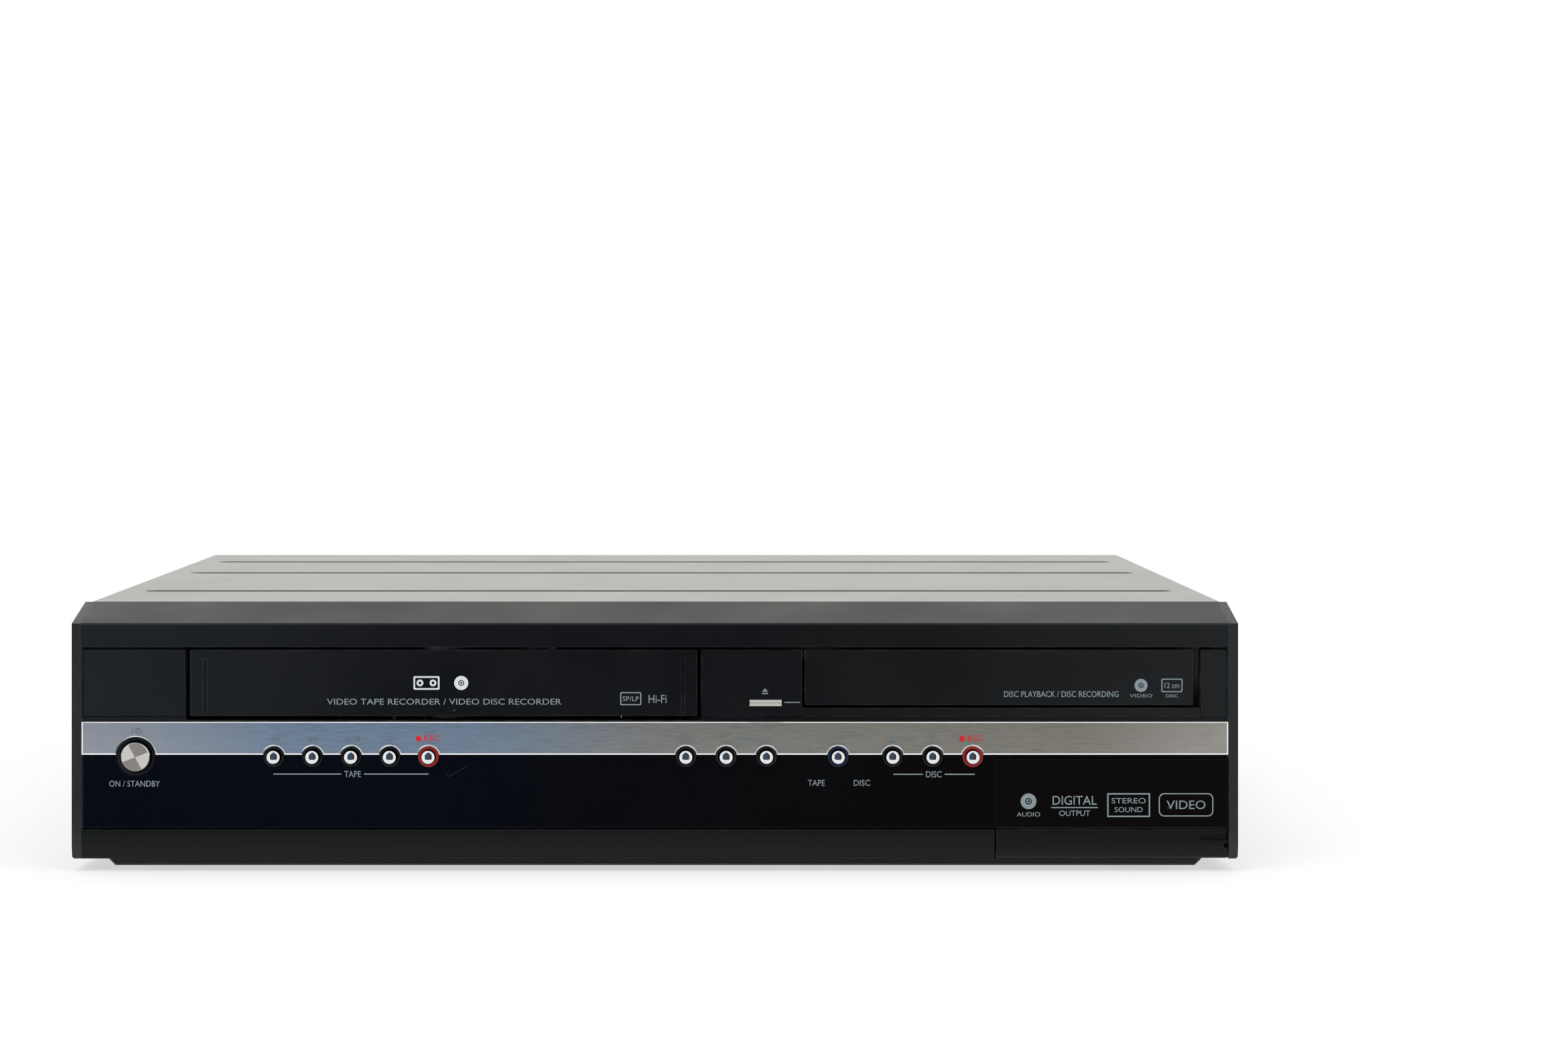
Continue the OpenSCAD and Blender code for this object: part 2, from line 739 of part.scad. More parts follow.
module key(x) {
    head_r = key_d / 2;
    dome_r = (head_r * head_r + dome_h * dome_h) / (2 * dome_h);
    flange_d = base_d1 + flange_gap;
    color([0.85, 0.86, 0.88]) {
        intersection() {
            front_bar(x, key_z, [-key_out, flange_d], head_r);
            union() {
                translate([x, at_depth(dome_r - key_out), key_z])
                    sphere(r = dome_r);
                front_bar(x, key_z, [dome_r - key_out, flange_d + eps], head_r + eps);
            }
        }
        front_bar(x, key_z, [dome_h - key_out, flange_d], head_r);
        front_bar(x, key_z, [flange_d, flange_d + flange_t], collar_d / 2 - 0.4);
        front_bar(x, key_z, [flange_d, stem_end_d], stem_r);
    }
}

module tape_rewind_key() { key(tape_key_xs[0]); }
module tape_forward_key() { key(tape_key_xs[1]); }
module tape_stop_key() { key(tape_key_xs[2]); }
module tape_play_key() { key(tape_key_xs[3]); }
module tape_record_key() { key(tape_key_xs[4]); }
module input_key() { key(channel_key_xs[0]); }
module channel_down_key() { key(channel_key_xs[1]); }
module channel_up_key() { key(channel_key_xs[2]); }
module dubbing_key() { key(dubbing_x); }
module disc_stop_key() { key(disc_key_xs[0]); }
module disc_play_key() { key(disc_key_xs[1]); }
module disc_record_key() { key(disc_key_xs[2]); }

module power_button() {
    head_out = 2;
    chamfer = 0.6;
    head_r = power_d / 2;
    flange_d = base_d1 + flange_gap;
    color([0.82, 0.83, 0.84]) {
        front_cone(power_x, key_z, [-head_out, chamfer - head_out], [head_r - chamfer, head_r]);
        front_bar(power_x, key_z, [chamfer - head_out, flange_d], head_r);
        front_bar(power_x, key_z, [flange_d, flange_d + flange_t], power_collar_d / 2 - 0.6);
        front_bar(power_x, key_z, [flange_d, stem_end_d], stem_r + 1);
    }
}

module eject_button() {
    head_out = 1.2;
    flange_d = base_d1 + flange_gap;
    head_x = [eject_x - eject_w / 2, eject_x + eject_w / 2];
    groove_r = eject_h;
    color([0.85, 0.86, 0.87]) {
        difference() {
            front_slab(head_x, [-head_out, flange_d], [eject_z - eject_h / 2, eject_z + eject_h / 2]);
            translate([head_x[0] - eps, at_depth(-head_out - groove_r + 0.25), eject_z])
                rotate([0, 90, 0])
                    cylinder(r = groove_r, h = eject_w + 2 * eps);
        }
        front_slab([head_x[0] - 1, head_x[1] + 1], [flange_d, flange_d + flange_t],
            [eject_z - eject_h / 2 - 1, eject_z + eject_h / 2 + 1]);
        front_bar(eject_x, eject_z, [flange_d, stem_end_d], stem_r);
    }
}

// Cassette door: the panel hangs from two arms and swings inwards
module cassette_door() {
    arm_outline = [
        [panel_d0 + 1, door_z1 - 4],
        [panel_d0 + 1, door_z1],
        [door_axis_d - arm_r, door_z1 + 0.3],
        [door_axis_d - arm_r, door_axis_z],
        [door_axis_d + arm_r, door_axis_z],
        [door_axis_d + 1.4, door_z1 - 1],
        [panel_d0 + door_t, door_z1 - 5]
    ];
    groove_z = [door_z0 + 1.4, door_z1 - 3.4];
    color([0.045, 0.05, 0.055]) {
        difference() {
            front_slab([tape_x - door_w / 2, tape_x + door_w / 2], [panel_d0, panel_d0 + door_t], [door_z0, door_z1]);
            for (x = [[-door_w / 2 + 4.9, -door_w / 2 + 6.4], [door_w / 2 - 5.7, door_w / 2 - 4.7]])
                front_slab([tape_x + x[0], tape_x + x[1]], [panel_d0 - eps, panel_d0 + 0.8], groove_z);
        }
        for (side = [-1, 1]) {
            outer = side * (door_w / 2 - arm_in + arm_w);
            inner = side * (door_w / 2 - arm_in);
            arm_x = [tape_x + min(inner, outer), tape_x + max(inner, outer)];
            run_x(arm_x, arm_outline);
            translate([arm_x[0], at_depth(door_axis_d), door_axis_z])
                rotate([0, 90, 0])
                    cylinder(r = arm_r, h = arm_w);
            pin_reach = lug_w + 0.4;
            translate([tape_x + outer - (side < 0 ? pin_reach : 0), at_depth(door_axis_d), door_axis_z])
                rotate([0, 90, 0])
                    cylinder(r = pin_r, h = pin_reach);
        }
    }
}

// Flap over the front sockets, hinged along its lower edge
module av_door() {
    plate = [
        [0, frame_bottom + lip_slope_h],
        [0, window_z0 - groove_h],
        [0.6, window_z0 - groove_h],
        [0.6, window_z0],
        [0, window_z0],
        [0, flap_z1],
        [flap_t, flap_z1],
        [flap_t, flap_axis_z],
        [flap_axis_d - flap_barrel_r, flap_axis_z]
    ];
    color([0.02, 0.02, 0.025]) {
        difference() {
            run_x([flap_x0, flap_x1], plate);
            front_slab([flap_x1 - 10, flap_x1 + eps], [-eps, 1.5], [frame_bottom + 6.9, frame_bottom + 9.7]);
            front_slab([flap_x1 - 1.3, flap_x1 + eps], [-eps, flap_t + eps],
                [flap_axis_z + flap_barrel_r + 0.2, frame_bottom + 6]);
        }
        translate([flap_x0, at_depth(flap_axis_d), flap_axis_z])
            rotate([0, 90, 0])
                cylinder(r = flap_barrel_r, h = flap_w);
        translate([flap_x0 - 2.5, at_depth(flap_axis_d), flap_axis_z])
            rotate([0, 90, 0])
                cylinder(r = 1, h = flap_w + 4.8);
    }
}

module front_sockets() {
    wall = 2;
    jack_z = (av_z[0] + av_z[1]) / 2;
    first_x = av_x[0] + 17;
    din_x = av_x[1] - 15;
    color([0.08, 0.08, 0.09])
        difference() {
            front_slab([av_x[0] - wall, av_x[1] + wall], [base_d1, av_back_d], [av_z[0] - wall, av_z[1] + wall]);
            front_slab(av_x, [base_d1 - eps, av_back_d - wall], av_z);
        }
    color([0.8, 0.7, 0.2]) {
        for (k = [0:2])
            difference() {
                front_bar(first_x + k * jack_pitch, jack_z, [av_back_d - wall - 8, av_back_d - wall + eps], jack_r);
                front_bar(first_x + k * jack_pitch, jack_z, [av_back_d - wall - 9, av_back_d - wall - 2], 1.6);
            }
        difference() {
            front_bar(din_x, jack_z, [av_back_d - wall - 5, av_back_d - wall + eps], 6);
            front_bar(din_x, jack_z, [av_back_d - wall - 6, av_back_d - wall], 4.7);
        }
    }
}

// Front board, with a switch behind each control
module board_switch(x, z) {
    front_slab([x - 3, x + 3], [board_d0 - 3.4, board_d0], [z - 3, z + 3]);
    front_bar(x, z, [board_d0 - switch_h, board_d0 - 3.3], 1.6);
}

module front_board() {
    color([0.12, 0.3, 0.16]) {
        difference() {
            union() {
                front_slab(front_board_x, [board_d0, board_d0 + board_t], front_board_z);
                front_slab([eject_x - 6, eject_x + 6], [board_d0, board_d0 + board_t],
                    [front_board_z[0], eject_z + 5]);
            }
            for (p = front_post_xz)
                front_bar(p[0], p[1], [board_d0 - eps, board_d0 + board_t + eps], 1);
        }
        for (x = concat(key_xs, [power_x]))
            board_switch(x, key_z);
        board_switch(eject_x, eject_z);
        // Driver chips and the plug strip on the rear of the board
        for (x = [display_x - 40, display_x + 20])
            front_slab([x, x + 22], [board_d0 + board_t, board_d0 + board_t + 2.4],
                [display_z0 + 2, display_z0 + 12]);
        front_slab([tape_x - 40, tape_x - 8], [board_d0 + board_t, board_d0 + board_t + 6],
            [front_board_z[0] + 8, front_board_z[0] + 14]);
    }
}

module display_tube() {
    tube_d = [board_d0 - 9, board_d0 - 2];
    tube_x = [display_x - display_w / 2 + 2, display_x + display_w / 2 - 2];
    leg_count = 16;
    color([0.1, 0.16, 0.16])
        front_slab(tube_x, tube_d, [display_z0 - 1, display_z0 + display_h + 1]);
    color([0.7, 0.7, 0.7])
        for (k = [0:leg_count - 1])
            front_bar(tube_x[0] + 4 + k * (tube_x[1] - tube_x[0] - 8) / (leg_count - 1), display_z0 + 0.5,
                [tube_d[1] - 1, board_d0], 0.5);
}

// Boards on the pan, standing on their own posts
module board_legs(xs, ys) {
    inset = 14;
    for (x = [xs[0] + inset, xs[1] - inset], y = [ys[0] + 6, ys[1] - 6])
        post(x, y, [pan_top, board_z[0]], 3);
}

module chip(x, y, w, d, h) {
    slab([x, x + w], [y, y + d], [board_z[1], board_z[1] + h]);
}

module main_board() {
    x0 = main_board_x[0];
    y0 = main_board_y[0];
    color([0.1, 0.32, 0.18]) {
        slab(main_board_x, main_board_y, board_z);
        board_legs(main_board_x, main_board_y);
    }
    color([0.05, 0.05, 0.05]) {
        chip(x0 + 70, y0 + 6, 24, 24, 2);
        chip(x0 + 112, y0 + 8, 16, 10, 1.6);
        chip(x0 + 150, y0 + 6, 28, 28, 2.4);
        for (k = [0:5])
            post(x0 + 140 + k * 12, y0 + 38, [board_z[1], board_z[1] + 9], 3);
    }
    // Tuner's screened box, behind the aerial sockets
    color([0.72, 0.73, 0.74])
        slab([x0 + 4, aerial_x + 9], [y0 + 4, rear_y - 6], [board_z[1], aerial_zs[1] + 9]);
}

module power_board() {
    x0 = power_board_x[0];
    y0 = power_board_y[0];
    color([0.5, 0.42, 0.22]) {
        slab(power_board_x, power_board_y, board_z);
        board_legs(power_board_x, power_board_y);
    }
    color([0.2, 0.2, 0.22]) {
        chip(x0 + 70, y0 + 40, 36, 32, 28);
        post(x0 + 40, y0 + 96, [board_z[1], board_z[1] + 34], 12);
        post(x0 + 120, y0 + 20, [board_z[1], board_z[1] + 18], 6);
        post(x0 + 104, y0 + 20, [board_z[1], board_z[1] + 18], 6);
        chip(x0 + 84, y0 + 100, 20, 16, 14);
    }
    // Finned heat sink
    color([0.7, 0.71, 0.72]) {
        chip(x0 + 14, y0 + 30, 3, 50, 36);
        for (k = [0:5])
            chip(x0 + 16, y0 + 31 + k * 9, 12, 2, 36);
    }
}

module scart_sockets() {
    depth = 18;
    color([0.06, 0.06, 0.06])
        for (x = scart_xs) {
            difference() {
                union() {
                    slab([x - scart_w / 2, x + scart_w / 2], [rear_y - depth, rear_y + 1.5],
                        [scart_z - scart_h / 2, scart_z + scart_h / 2]);
                    slab([x - scart_w / 2, x + scart_w / 2], [rear_y - depth, rear_y - 8], [board_z[1], scart_z]);
                }
                slab([x - 21, x + 21], [rear_y - 11, rear_y + 3], [scart_z - 5.3, scart_z + 5.3]);
            }
            slab([x - 18.5, x + 18.5], [rear_y - 12, rear_y], [scart_z - 2.8, scart_z + 2.8]);
        }
}

module phono_jacks() {
    block_y = [rear_y - 18, pan_rear_y - seam];
    color([0.06, 0.06, 0.06])
        slab([jack_x0 - jack_block_half, jack_x1], block_y,
            [board_z[1], jack_z0 + (jack_rows - 1) * jack_pitch + jack_block_half]);
    color([0.82, 0.75, 0.4])
        for (col = [0:jack_cols - 1], row = [0:jack_rows - 1])
            difference() {
                rear_bar(jack_x0 + col * jack_pitch, jack_z0 + row * jack_pitch, [-sheet_t - seam - eps, jack_out], jack_r);
                rear_bar(jack_x0 + col * jack_pitch, jack_z0 + row * jack_pitch, [0, jack_out + eps], 1.6);
            }
}

module aerial_sockets() {
    color([0.78, 0.79, 0.8])
        for (z = aerial_zs)
            difference() {
                union() {
                    rear_bar(aerial_x, z, [-6, jack_out - 0.5], 4.75);
                    rear_bar(aerial_x, z, [-6, -sheet_t - seam], 8);
                }
                rear_bar(aerial_x, z, [-2, jack_out + eps], 1.2);
            }
}

module mains_inlet() {
    back = 20;
    color([0.05, 0.05, 0.05])
        difference() {
            union() {
                slab([inlet_x - inlet_w / 2, inlet_x + inlet_w / 2], [rear_y - back, rear_y + inlet_out],
                    [inlet_z - inlet_h / 2, inlet_z + inlet_h / 2]);
                slab([inlet_x - inlet_w / 2, inlet_x + inlet_w / 2], [rear_y - back, rear_y - 8],
                    [board_z[1], inlet_z]);
            }
            translate([inlet_x, rear_y + inlet_out + eps, inlet_z])
                rotate([90, 0, 0])
                    linear_extrude(12 + eps)
                        round_rect(17.5, 9.4, 4.6);
        }
    color([0.8, 0.8, 0.8])
        for (side = [-1, 1])
            rear_bar(inlet_x + side * inlet_pin_x, inlet_z, [inlet_out - 13, inlet_out - 2], 1.2);
}

// Fan against the rear panel's grille
fan_y = [pan_rear_y - fan_depth, pan_rear_y];
fan_hub_r = 10;
fan_shaft_r = 1.5;

module fan_place() {
    translate([fan_x, fan_y[0], fan_z])
        rotate([-90, 0, 0])
            children();
}

module fan_frame() {
    disc_z = [fan_depth - 2.4, fan_depth - 0.4];
    color([0.05, 0.05, 0.055])
        fan_place() {
            difference() {
                linear_extrude(fan_depth)
                    round_rect(fan_size, fan_size, 3);
                translate([0, 0, -eps])
                    cylinder(r = fan_bore_r, h = fan_depth + 2 * eps);
                for (sx = [-1, 1], sy = [-1, 1])
                    translate([sx * (fan_size / 2 - 4.2), sy * (fan_size / 2 - 4.2), -eps])
                        cylinder(r = 2, h = fan_depth + 2 * eps);
            }
            difference() {
                translate([0, 0, disc_z[0]])
                    cylinder(r = fan_hub_r, h = disc_z[1] - disc_z[0]);
                translate([0, 0, -eps])
                    cylinder(r = fan_shaft_r + running, h = fan_depth + 2 * eps);
            }
            for (turn = [45:90:315])
                rotate([0, 0, turn])
                    translate([fan_hub_r - 1, -1, disc_z[0] + 0.3])
                        cube([fan_bore_r - fan_hub_r + 1.6, 2, disc_z[1] - disc_z[0] - 0.6]);
        }
}

module fan_rotor() {
    blades = 7;
    blade_z = [1, fan_depth - 3.2];
    color([0.07, 0.07, 0.075])
        fan_place() {
            translate([0, 0, blade_z[0]])
                cylinder(r = fan_hub_r, h = blade_z[1] - blade_z[0]);
            translate([0, 0, blade_z[0]])
                cylinder(r = fan_shaft_r, h = fan_depth - 1.6);
            intersection() {
                for (k = [0:blades - 1])
                    rotate([0, 0, k * 360 / blades])
                        translate([0, 0, (blade_z[0] + blade_z[1]) / 2])
                            rotate([35, 0, 0])
                                translate([fan_hub_r - 1, -6, -0.5])
                                    cube([fan_bore_r, 12, 1]);
                translate([0, 0, blade_z[0]])
                    cylinder(r = fan_bore_r - fan_gap, h = blade_z[1] - blade_z[0]);
            }
        }
}

// Tape deck: the carriage takes the cassette in and lowers it over the reels
cassette_z = slot_z0 + slot_margin;
carriage_d0 = door_axis_d + door_axis_z - door_z0 + 3;
carriage_y = [at_depth(carriage_d0), at_depth(carriage_d0) + cassette_d];
carriage_mid_y = (carriage_y[0] + carriage_y[1]) / 2;
carriage_inner = cassette_w / 2 + 0.8;
plate_t = 1;
carriage_outer = carriage_inner + plate_t;
carriage_top_z = cassette_z + cassette_h + 0.6;
shuttle_t = 1.2;
shuttle_inner = carriage_outer + 1;
shuttle_outer = shuttle_inner + shuttle_t;
shuttle_half_y = 30;
shuttle_z1 = carriage_top_z + plate_t + 1.4;
loader_t = 1.2;
loader_inner = shuttle_outer + 1.3;
loader_outer = loader_inner + loader_t;
guide_pin_r = 2;
slot_r = guide_pin_r + sliding;
guide_pin_end = loader_outer + 1.5;
carriage_pin_ys = [carriage_mid_y - 20, carriage_mid_y + 20];
carriage_pin_z = cassette_z + 13;
shuttle_pin_ys = [carriage_mid_y - 25, carriage_mid_y + 25];
shuttle_pin_z = carriage_pin_z + 11.5;
hub_space = 7;
deck_top = cassette_z - carriage_drop - hub_space;
under_deck = deck_top - deck_t - pan_top;
motor_h = 0.57 * under_deck;
flywheel_t = 0.2 * under_deck;
reel_y = carriage_mid_y + shuttle_travel;
drum_y = carriage_y[1] + shuttle_travel + 4 + drum_d / 2;
deck_half = loader_outer + 4;
deck_y = [carriage_y[0] - 2, drum_y + drum_d / 2 + 8];
deck_leg_x = deck_half - 14;
loader_y1 = shuttle_pin_ys[1] + shuttle_travel + 12;

// Places on the deck, counted from the line between the reels
capstan_at = [tape_x + 38, drum_y - 24.3];
capstan_r = capstan_d / 2;
pinch_r = pinch_d / 2;
pinch_pivot = [tape_x + 64, drum_y - 22.3];
pinch_swing = 25;
pinch_nip = pinch_r + capstan_r + 0.15;
pinch_closed = [capstan_at[0] - pinch_pivot[0], capstan_at[1] - pinch_nip - pinch_pivot[1]];
pinch_at = [
    pinch_pivot[0] + pinch_closed[0] * cos(pinch_swing) - pinch_closed[1] * sin(pinch_swing),
    pinch_pivot[1] + pinch_closed[0] * sin(pinch_swing) + pinch_closed[1] * cos(pinch_swing)
];
tension_pivot = [tape_x - 80, drum_y - 34];
tension_tip = [tape_x - 59, drum_y - 39];
arm_z = [deck_top + 1, deck_top + 3];
pivot_r = 1.5;
reel_post_r = 2;
capstan_hole_r = 4.2;

module reel_places() {
    for (side = [-1, 1])
        translate([tape_x + side * reel_pitch / 2, reel_y, 0])
            children();
}

module deck_plate() {
    color([0.7, 0.71, 0.72]) {
        difference() {
            slab([tape_x - deck_half, tape_x + deck_half], deck_y, [deck_top - deck_t, deck_top]);
            post(capstan_at[0], capstan_at[1], [deck_top - deck_t - eps, deck_top + eps], capstan_hole_r);
            slab([tape_x - 20, tape_x + 20], [deck_y[0] + 20, deck_y[0] + 56], [deck_top - deck_t - eps, deck_top + eps]);
        }
        for (sx = [-1, 1], y = [deck_y[0] + 7, deck_y[1] - 7])
            post(tape_x + sx * deck_leg_x, y, [pan_top, deck_top - deck_t / 2], 4);
        reel_places()
            post(0, 0, [deck_top - deck_t / 2, deck_top + 13], reel_post_r);
        post(pinch_pivot[0], pinch_pivot[1], [deck_top - deck_t / 2, arm_z[1] + 4], pivot_r);
        post(tension_pivot[0], tension_pivot[1], [deck_top - deck_t / 2, arm_z[1] + 4], pivot_r);
    }
}

module reel() {
    table_r = 19;
    boss_r = 7.5;
    fins = 3;
    difference() {
        union() {
            post(0, 0, [deck_top + sliding, deck_top + 3.5], table_r);
            post(0, 0, [deck_top + 3.5, deck_top + 13.5], boss_r);
            for (k = [0:fins - 1])
                rotate([0, 0, k * 360 / fins])
                    slab([0, boss_r + 3], [-1.2, 1.2], [deck_top + 3.5, deck_top + 12]);
            translate([0, 0, deck_top + 13.5])
                cylinder(r1 = boss_r, r2 = 2.5, h = 3.5);
        }
        post(0, 0, [deck_top, deck_top + 13.3], reel_post_r + running);
    }
}

module supply_reel() {
    color([0.12, 0.12, 0.13])
        translate([tape_x - reel_pitch / 2, reel_y, 0])
            reel();
}

module takeup_reel() {
    color([0.12, 0.12, 0.13])
        translate([tape_x + reel_pitch / 2, reel_y, 0])
            reel();
}

// Head drum, leaning to the rear
drum_base = 4;
lower_h = 20;
upper_h = 21;
drum_shaft_r = 3;

module drum_place() {
    translate([tape_x, drum_y, deck_top + drum_base])
        rotate([-drum_tilt, 0, 0])
            children();
}

module lower_drum() {
    color([0.75, 0.76, 0.77])
        difference() {
            union() {
                drum_place()
                    cylinder(d = drum_d, h = lower_h);
                intersection() {
                    drum_place()
                        translate([0, 0, -2 * drum_base])
                            cylinder(d = drum_d - 16, h = 3 * drum_base);
                    slab([tape_x - drum_d, tape_x + drum_d], [drum_y - drum_d, drum_y + drum_d],
                        [deck_top, deck_top + 3 * drum_base]);
                }
            }
            drum_place()
                translate([0, 0, 2])
                    cylinder(r = drum_shaft_r + running, h = lower_h);
        }
}

module upper_drum() {
    gap = 0.5;
    color([0.82, 0.83, 0.84])
        drum_place() {
            difference() {
                translate([0, 0, lower_h + gap])
                    cylinder(d = drum_d, h = upper_h);
                translate([0, 0, lower_h + gap + upper_h - 3])
                    difference() {
                        cylinder(d = drum_d - 8, h = 4);
                        translate([0, 0, -eps])
                            cylinder(r = 12, h = 6);
                    }
                for (turn = [0, 180])
                    rotate([0, 0, turn])
                        translate([drum_d / 2 - 1.5, -1.5, lower_h])
                            cube([3, 3, 3]);
            }
            translate([0, 0, 3])
                cylinder(r = drum_shaft_r, h = lower_h + gap);
        }
}

module capstan_motor() {
    motor_z = [deck_top - deck_t - motor_h, deck_top - deck_t];
    boss_z1 = deck_top + 2.5;
    color([0.3, 0.31, 0.33])
        difference() {
            union() {
                post(capstan_at[0], capstan_at[1], motor_z, 24);
                post(capstan_at[0], capstan_at[1], [motor_z[1] - 1, boss_z1], capstan_hole_r - seam);
            }
            post(capstan_at[0], capstan_at[1], [motor_z[0] - eps, boss_z1 + eps], capstan_r + running);
        }
}

module capstan() {
    flywheel_z1 = deck_top - deck_t - motor_h - 0.5;
    color([0.85, 0.85, 0.86]) {
        post(capstan_at[0], capstan_at[1], [flywheel_z1 - flywheel_t / 2, deck_top + 25], capstan_r);
        post(capstan_at[0], capstan_at[1], [flywheel_z1 - flywheel_t, flywheel_z1], 22);
    }
}

// Flat arm from a pivot to a tip, with a bore at the pivot
module pivot_arm(pivot, tip, tip_r) {
    reach = [tip[0] - pivot[0], tip[1] - pivot[1]];
    difference() {
        union() {
            post(pivot[0], pivot[1], [arm_z[0], arm_z[1] + 3], pivot_r + 2.5);
            post(tip[0], tip[1], arm_z, tip_r);
            translate([pivot[0], pivot[1], arm_z[0]])
                rotate([0, 0, atan2(reach[1], reach[0])])
                    translate([0, -2.2, 0])
                        cube([norm(reach), 4.4, arm_z[1] - arm_z[0]]);
        }
        post(pivot[0], pivot[1], [arm_z[0] - eps, arm_z[1] + 3 + eps], pivot_r + running);
    }
}

module pinch_arm() {
    color([0.66, 0.67, 0.68]) {
        pivot_arm(pinch_pivot, pinch_at, 3.4);
        post(pinch_at[0], pinch_at[1], [arm_z[0] + 0.5, arm_z[1] + 18.5], pivot_r);
    }
}

module pinch_roller() {
    color([0.04, 0.04, 0.04])
        difference() {
            post(pinch_at[0], pinch_at[1], [arm_z[1] + sliding, arm_z[1] + 17], pinch_r);
            post(pinch_at[0], pinch_at[1], [arm_z[1], arm_z[1] + 18], pivot_r + running);
        }
}

module tension_arm() {
    color([0.66, 0.67, 0.68]) {
        pivot_arm(tension_pivot, tension_tip, 3);
        post(tension_tip[0], tension_tip[1], [arm_z[0] + 0.5, arm_z[1] + 18], 2);
    }
}

module tape_guides() {
    post_at = [[-44, -14], [-40, 14], [46, 24], [24, -44.5], [-22, -41]];
    heads = [[-60, -20, 12, 9], [43, -3, 10, 8]];
    color([0.8, 0.81, 0.82]) {
        for (p = post_at) {
            x = tape_x + p[0];
            y = drum_y + p[1];
            post(x, y, [deck_top, deck_top + 6], 3.2);
            post(x, y, [deck_top + 6, deck_top + 22], 2);
            post(x, y, [deck_top + 22, deck_top + 24], 3.2);
        }
        for (h = heads)
            slab([tape_x + h[0] - h[2] / 2, tape_x + h[0] + h[2] / 2],
                [drum_y + h[1] - h[3] / 2, drum_y + h[1] + h[3] / 2], [deck_top, deck_top + 22]);
    }
}

module both_sides() {
    for (side = [0, 1])
        translate([tape_x, 0, 0])
            mirror([side, 0, 0])
                children();
}

module loader_frame() {
    plate_z1 = shuttle_z1 + shuttle_t + 3;
    window_y = [carriage_pin_ys[0] - slot_r, carriage_pin_ys[1] + shuttle_travel + slot_r];
    window_z = [carriage_pin_z - carriage_drop - slot_r, carriage_pin_z + slot_r];
    track_y = [shuttle_pin_ys[0] - slot_r, shuttle_pin_ys[1] + shuttle_travel + slot_r];
    color([0.68, 0.69, 0.7]) {
        both_sides() {
            difference() {
                slab([loader_inner, loader_outer], [carriage_y[0], loader_y1], [deck_top, plate_z1]);
                slab([loader_inner - eps, loader_outer + eps], window_y, window_z);
                slab([loader_inner - eps, loader_outer + eps], track_y, [shuttle_pin_z - slot_r, shuttle_pin_z + slot_r]);
            }
            slab([loader_outer, deck_half - 0.5], [carriage_y[0] + 4, loader_y1 - 4], [deck_top, deck_top + loader_t]);
        }
        for (y = [carriage_y[0] + 2, loader_y1 - 16])
            slab([tape_x - loader_outer, tape_x + loader_outer], [y, y + 14], [plate_z1 - loader_t, plate_z1]);
    }
}

module carriage_shuttle() {
    shuttle_y = [carriage_mid_y - shuttle_half_y, carriage_mid_y + shuttle_half_y];
    slot_z = [carriage_pin_z - carriage_drop - slot_r, carriage_pin_z + slot_r];
    color([0.55, 0.56, 0.58]) {
        both_sides() {
            difference() {
                slab([shuttle_inner, shuttle_outer], shuttle_y, [slot_z[0] - 2, shuttle_z1 + shuttle_t]);
                for (y = carriage_pin_ys)
                    slab([shuttle_inner - eps, shuttle_outer + eps], [y - slot_r, y + slot_r], slot_z);
            }
            for (y = shuttle_pin_ys)
                translate([shuttle_outer - 0.5, y, shuttle_pin_z])
                    rotate([0, 90, 0])
                        cylinder(r = guide_pin_r, h = guide_pin_end - shuttle_outer + 0.5);
        }
        difference() {
            slab([tape_x - shuttle_outer, tape_x + shuttle_outer], shuttle_y, [shuttle_z1, shuttle_z1 + shuttle_t]);
            for (side = [-1, 1])
                slab([tape_x + side * 40 - 18, tape_x + side * 40 + 18], [shuttle_y[0] + 14, shuttle_y[1] - 14],
                    [shuttle_z1 - eps, shuttle_z1 + shuttle_t + eps]);
        }
    }
}

module cassette_carriage() {
    ledge = 6;
    color([0.5, 0.51, 0.53]) {
        both_sides() {
            slab([carriage_inner, carriage_outer], carriage_y, [cassette_z - plate_t, carriage_top_z + plate_t]);
            slab([carriage_inner - ledge, carriage_inner + plate_t / 2], carriage_y, [cassette_z - plate_t, cassette_z]);
            for (y = carriage_pin_ys)
                translate([carriage_outer - 0.5, y, carriage_pin_z])
                    rotate([0, 90, 0])
                        cylinder(r = guide_pin_r, h = guide_pin_end - carriage_outer + 0.5);
        }
        difference() {
            slab([tape_x - carriage_outer, tape_x + carriage_outer], carriage_y,
                [carriage_top_z, carriage_top_z + plate_t]);
            for (side = [-1, 1])
                slab([tape_x + side * 40 - 18, tape_x + side * 40 + 18], [carriage_mid_y - 20, carriage_mid_y + 20],
                    [carriage_top_z - eps, carriage_top_z + plate_t + eps]);
        }
    }
}

// Disc drive: the tray runs between side rails, over a pickup frame that lifts
tray_t = 2.5;
tray_top = tray_z0 + 7.4;
tray_bottom = tray_top - tray_t;
tray_back_d = 3;
tray_length = 160;
tray_half = 69;
recess_depth = 1.5;
disc_centre_d = tray_back_d + 7.5 + disc_d / 2;
spindle_y = at_depth(disc_centre_d);
drive_half = 73;
drive_wall = 1.2;
drive_y = [at_depth(board_d0 + board_t + 1), at_depth(tray_back_d) + tray_length + 12];
drive_z = [tray_top - 19, tray_top + 7];
rail_in = tray_half - 3;
tray_slot_half = 17;
hub_r = 14;
hub_seat_z = tray_top - recess_depth + 0.5 - pickup_lift;
pickup_z = [hub_seat_z - 5.5, hub_seat_z - 3.5];
pickup_half = 31;
pickup_well_half = 24;
pickup_y = [spindle_y - 18, spindle_y + 77];
well_y = [spindle_y + 14, pickup_y[1] - 7];
lift_pin_x = (pickup_half + pickup_well_half) / 2;
lift_pin_ys = [spindle_y - 4, spindle_y + 57];
lift_pin_r = 1.5;
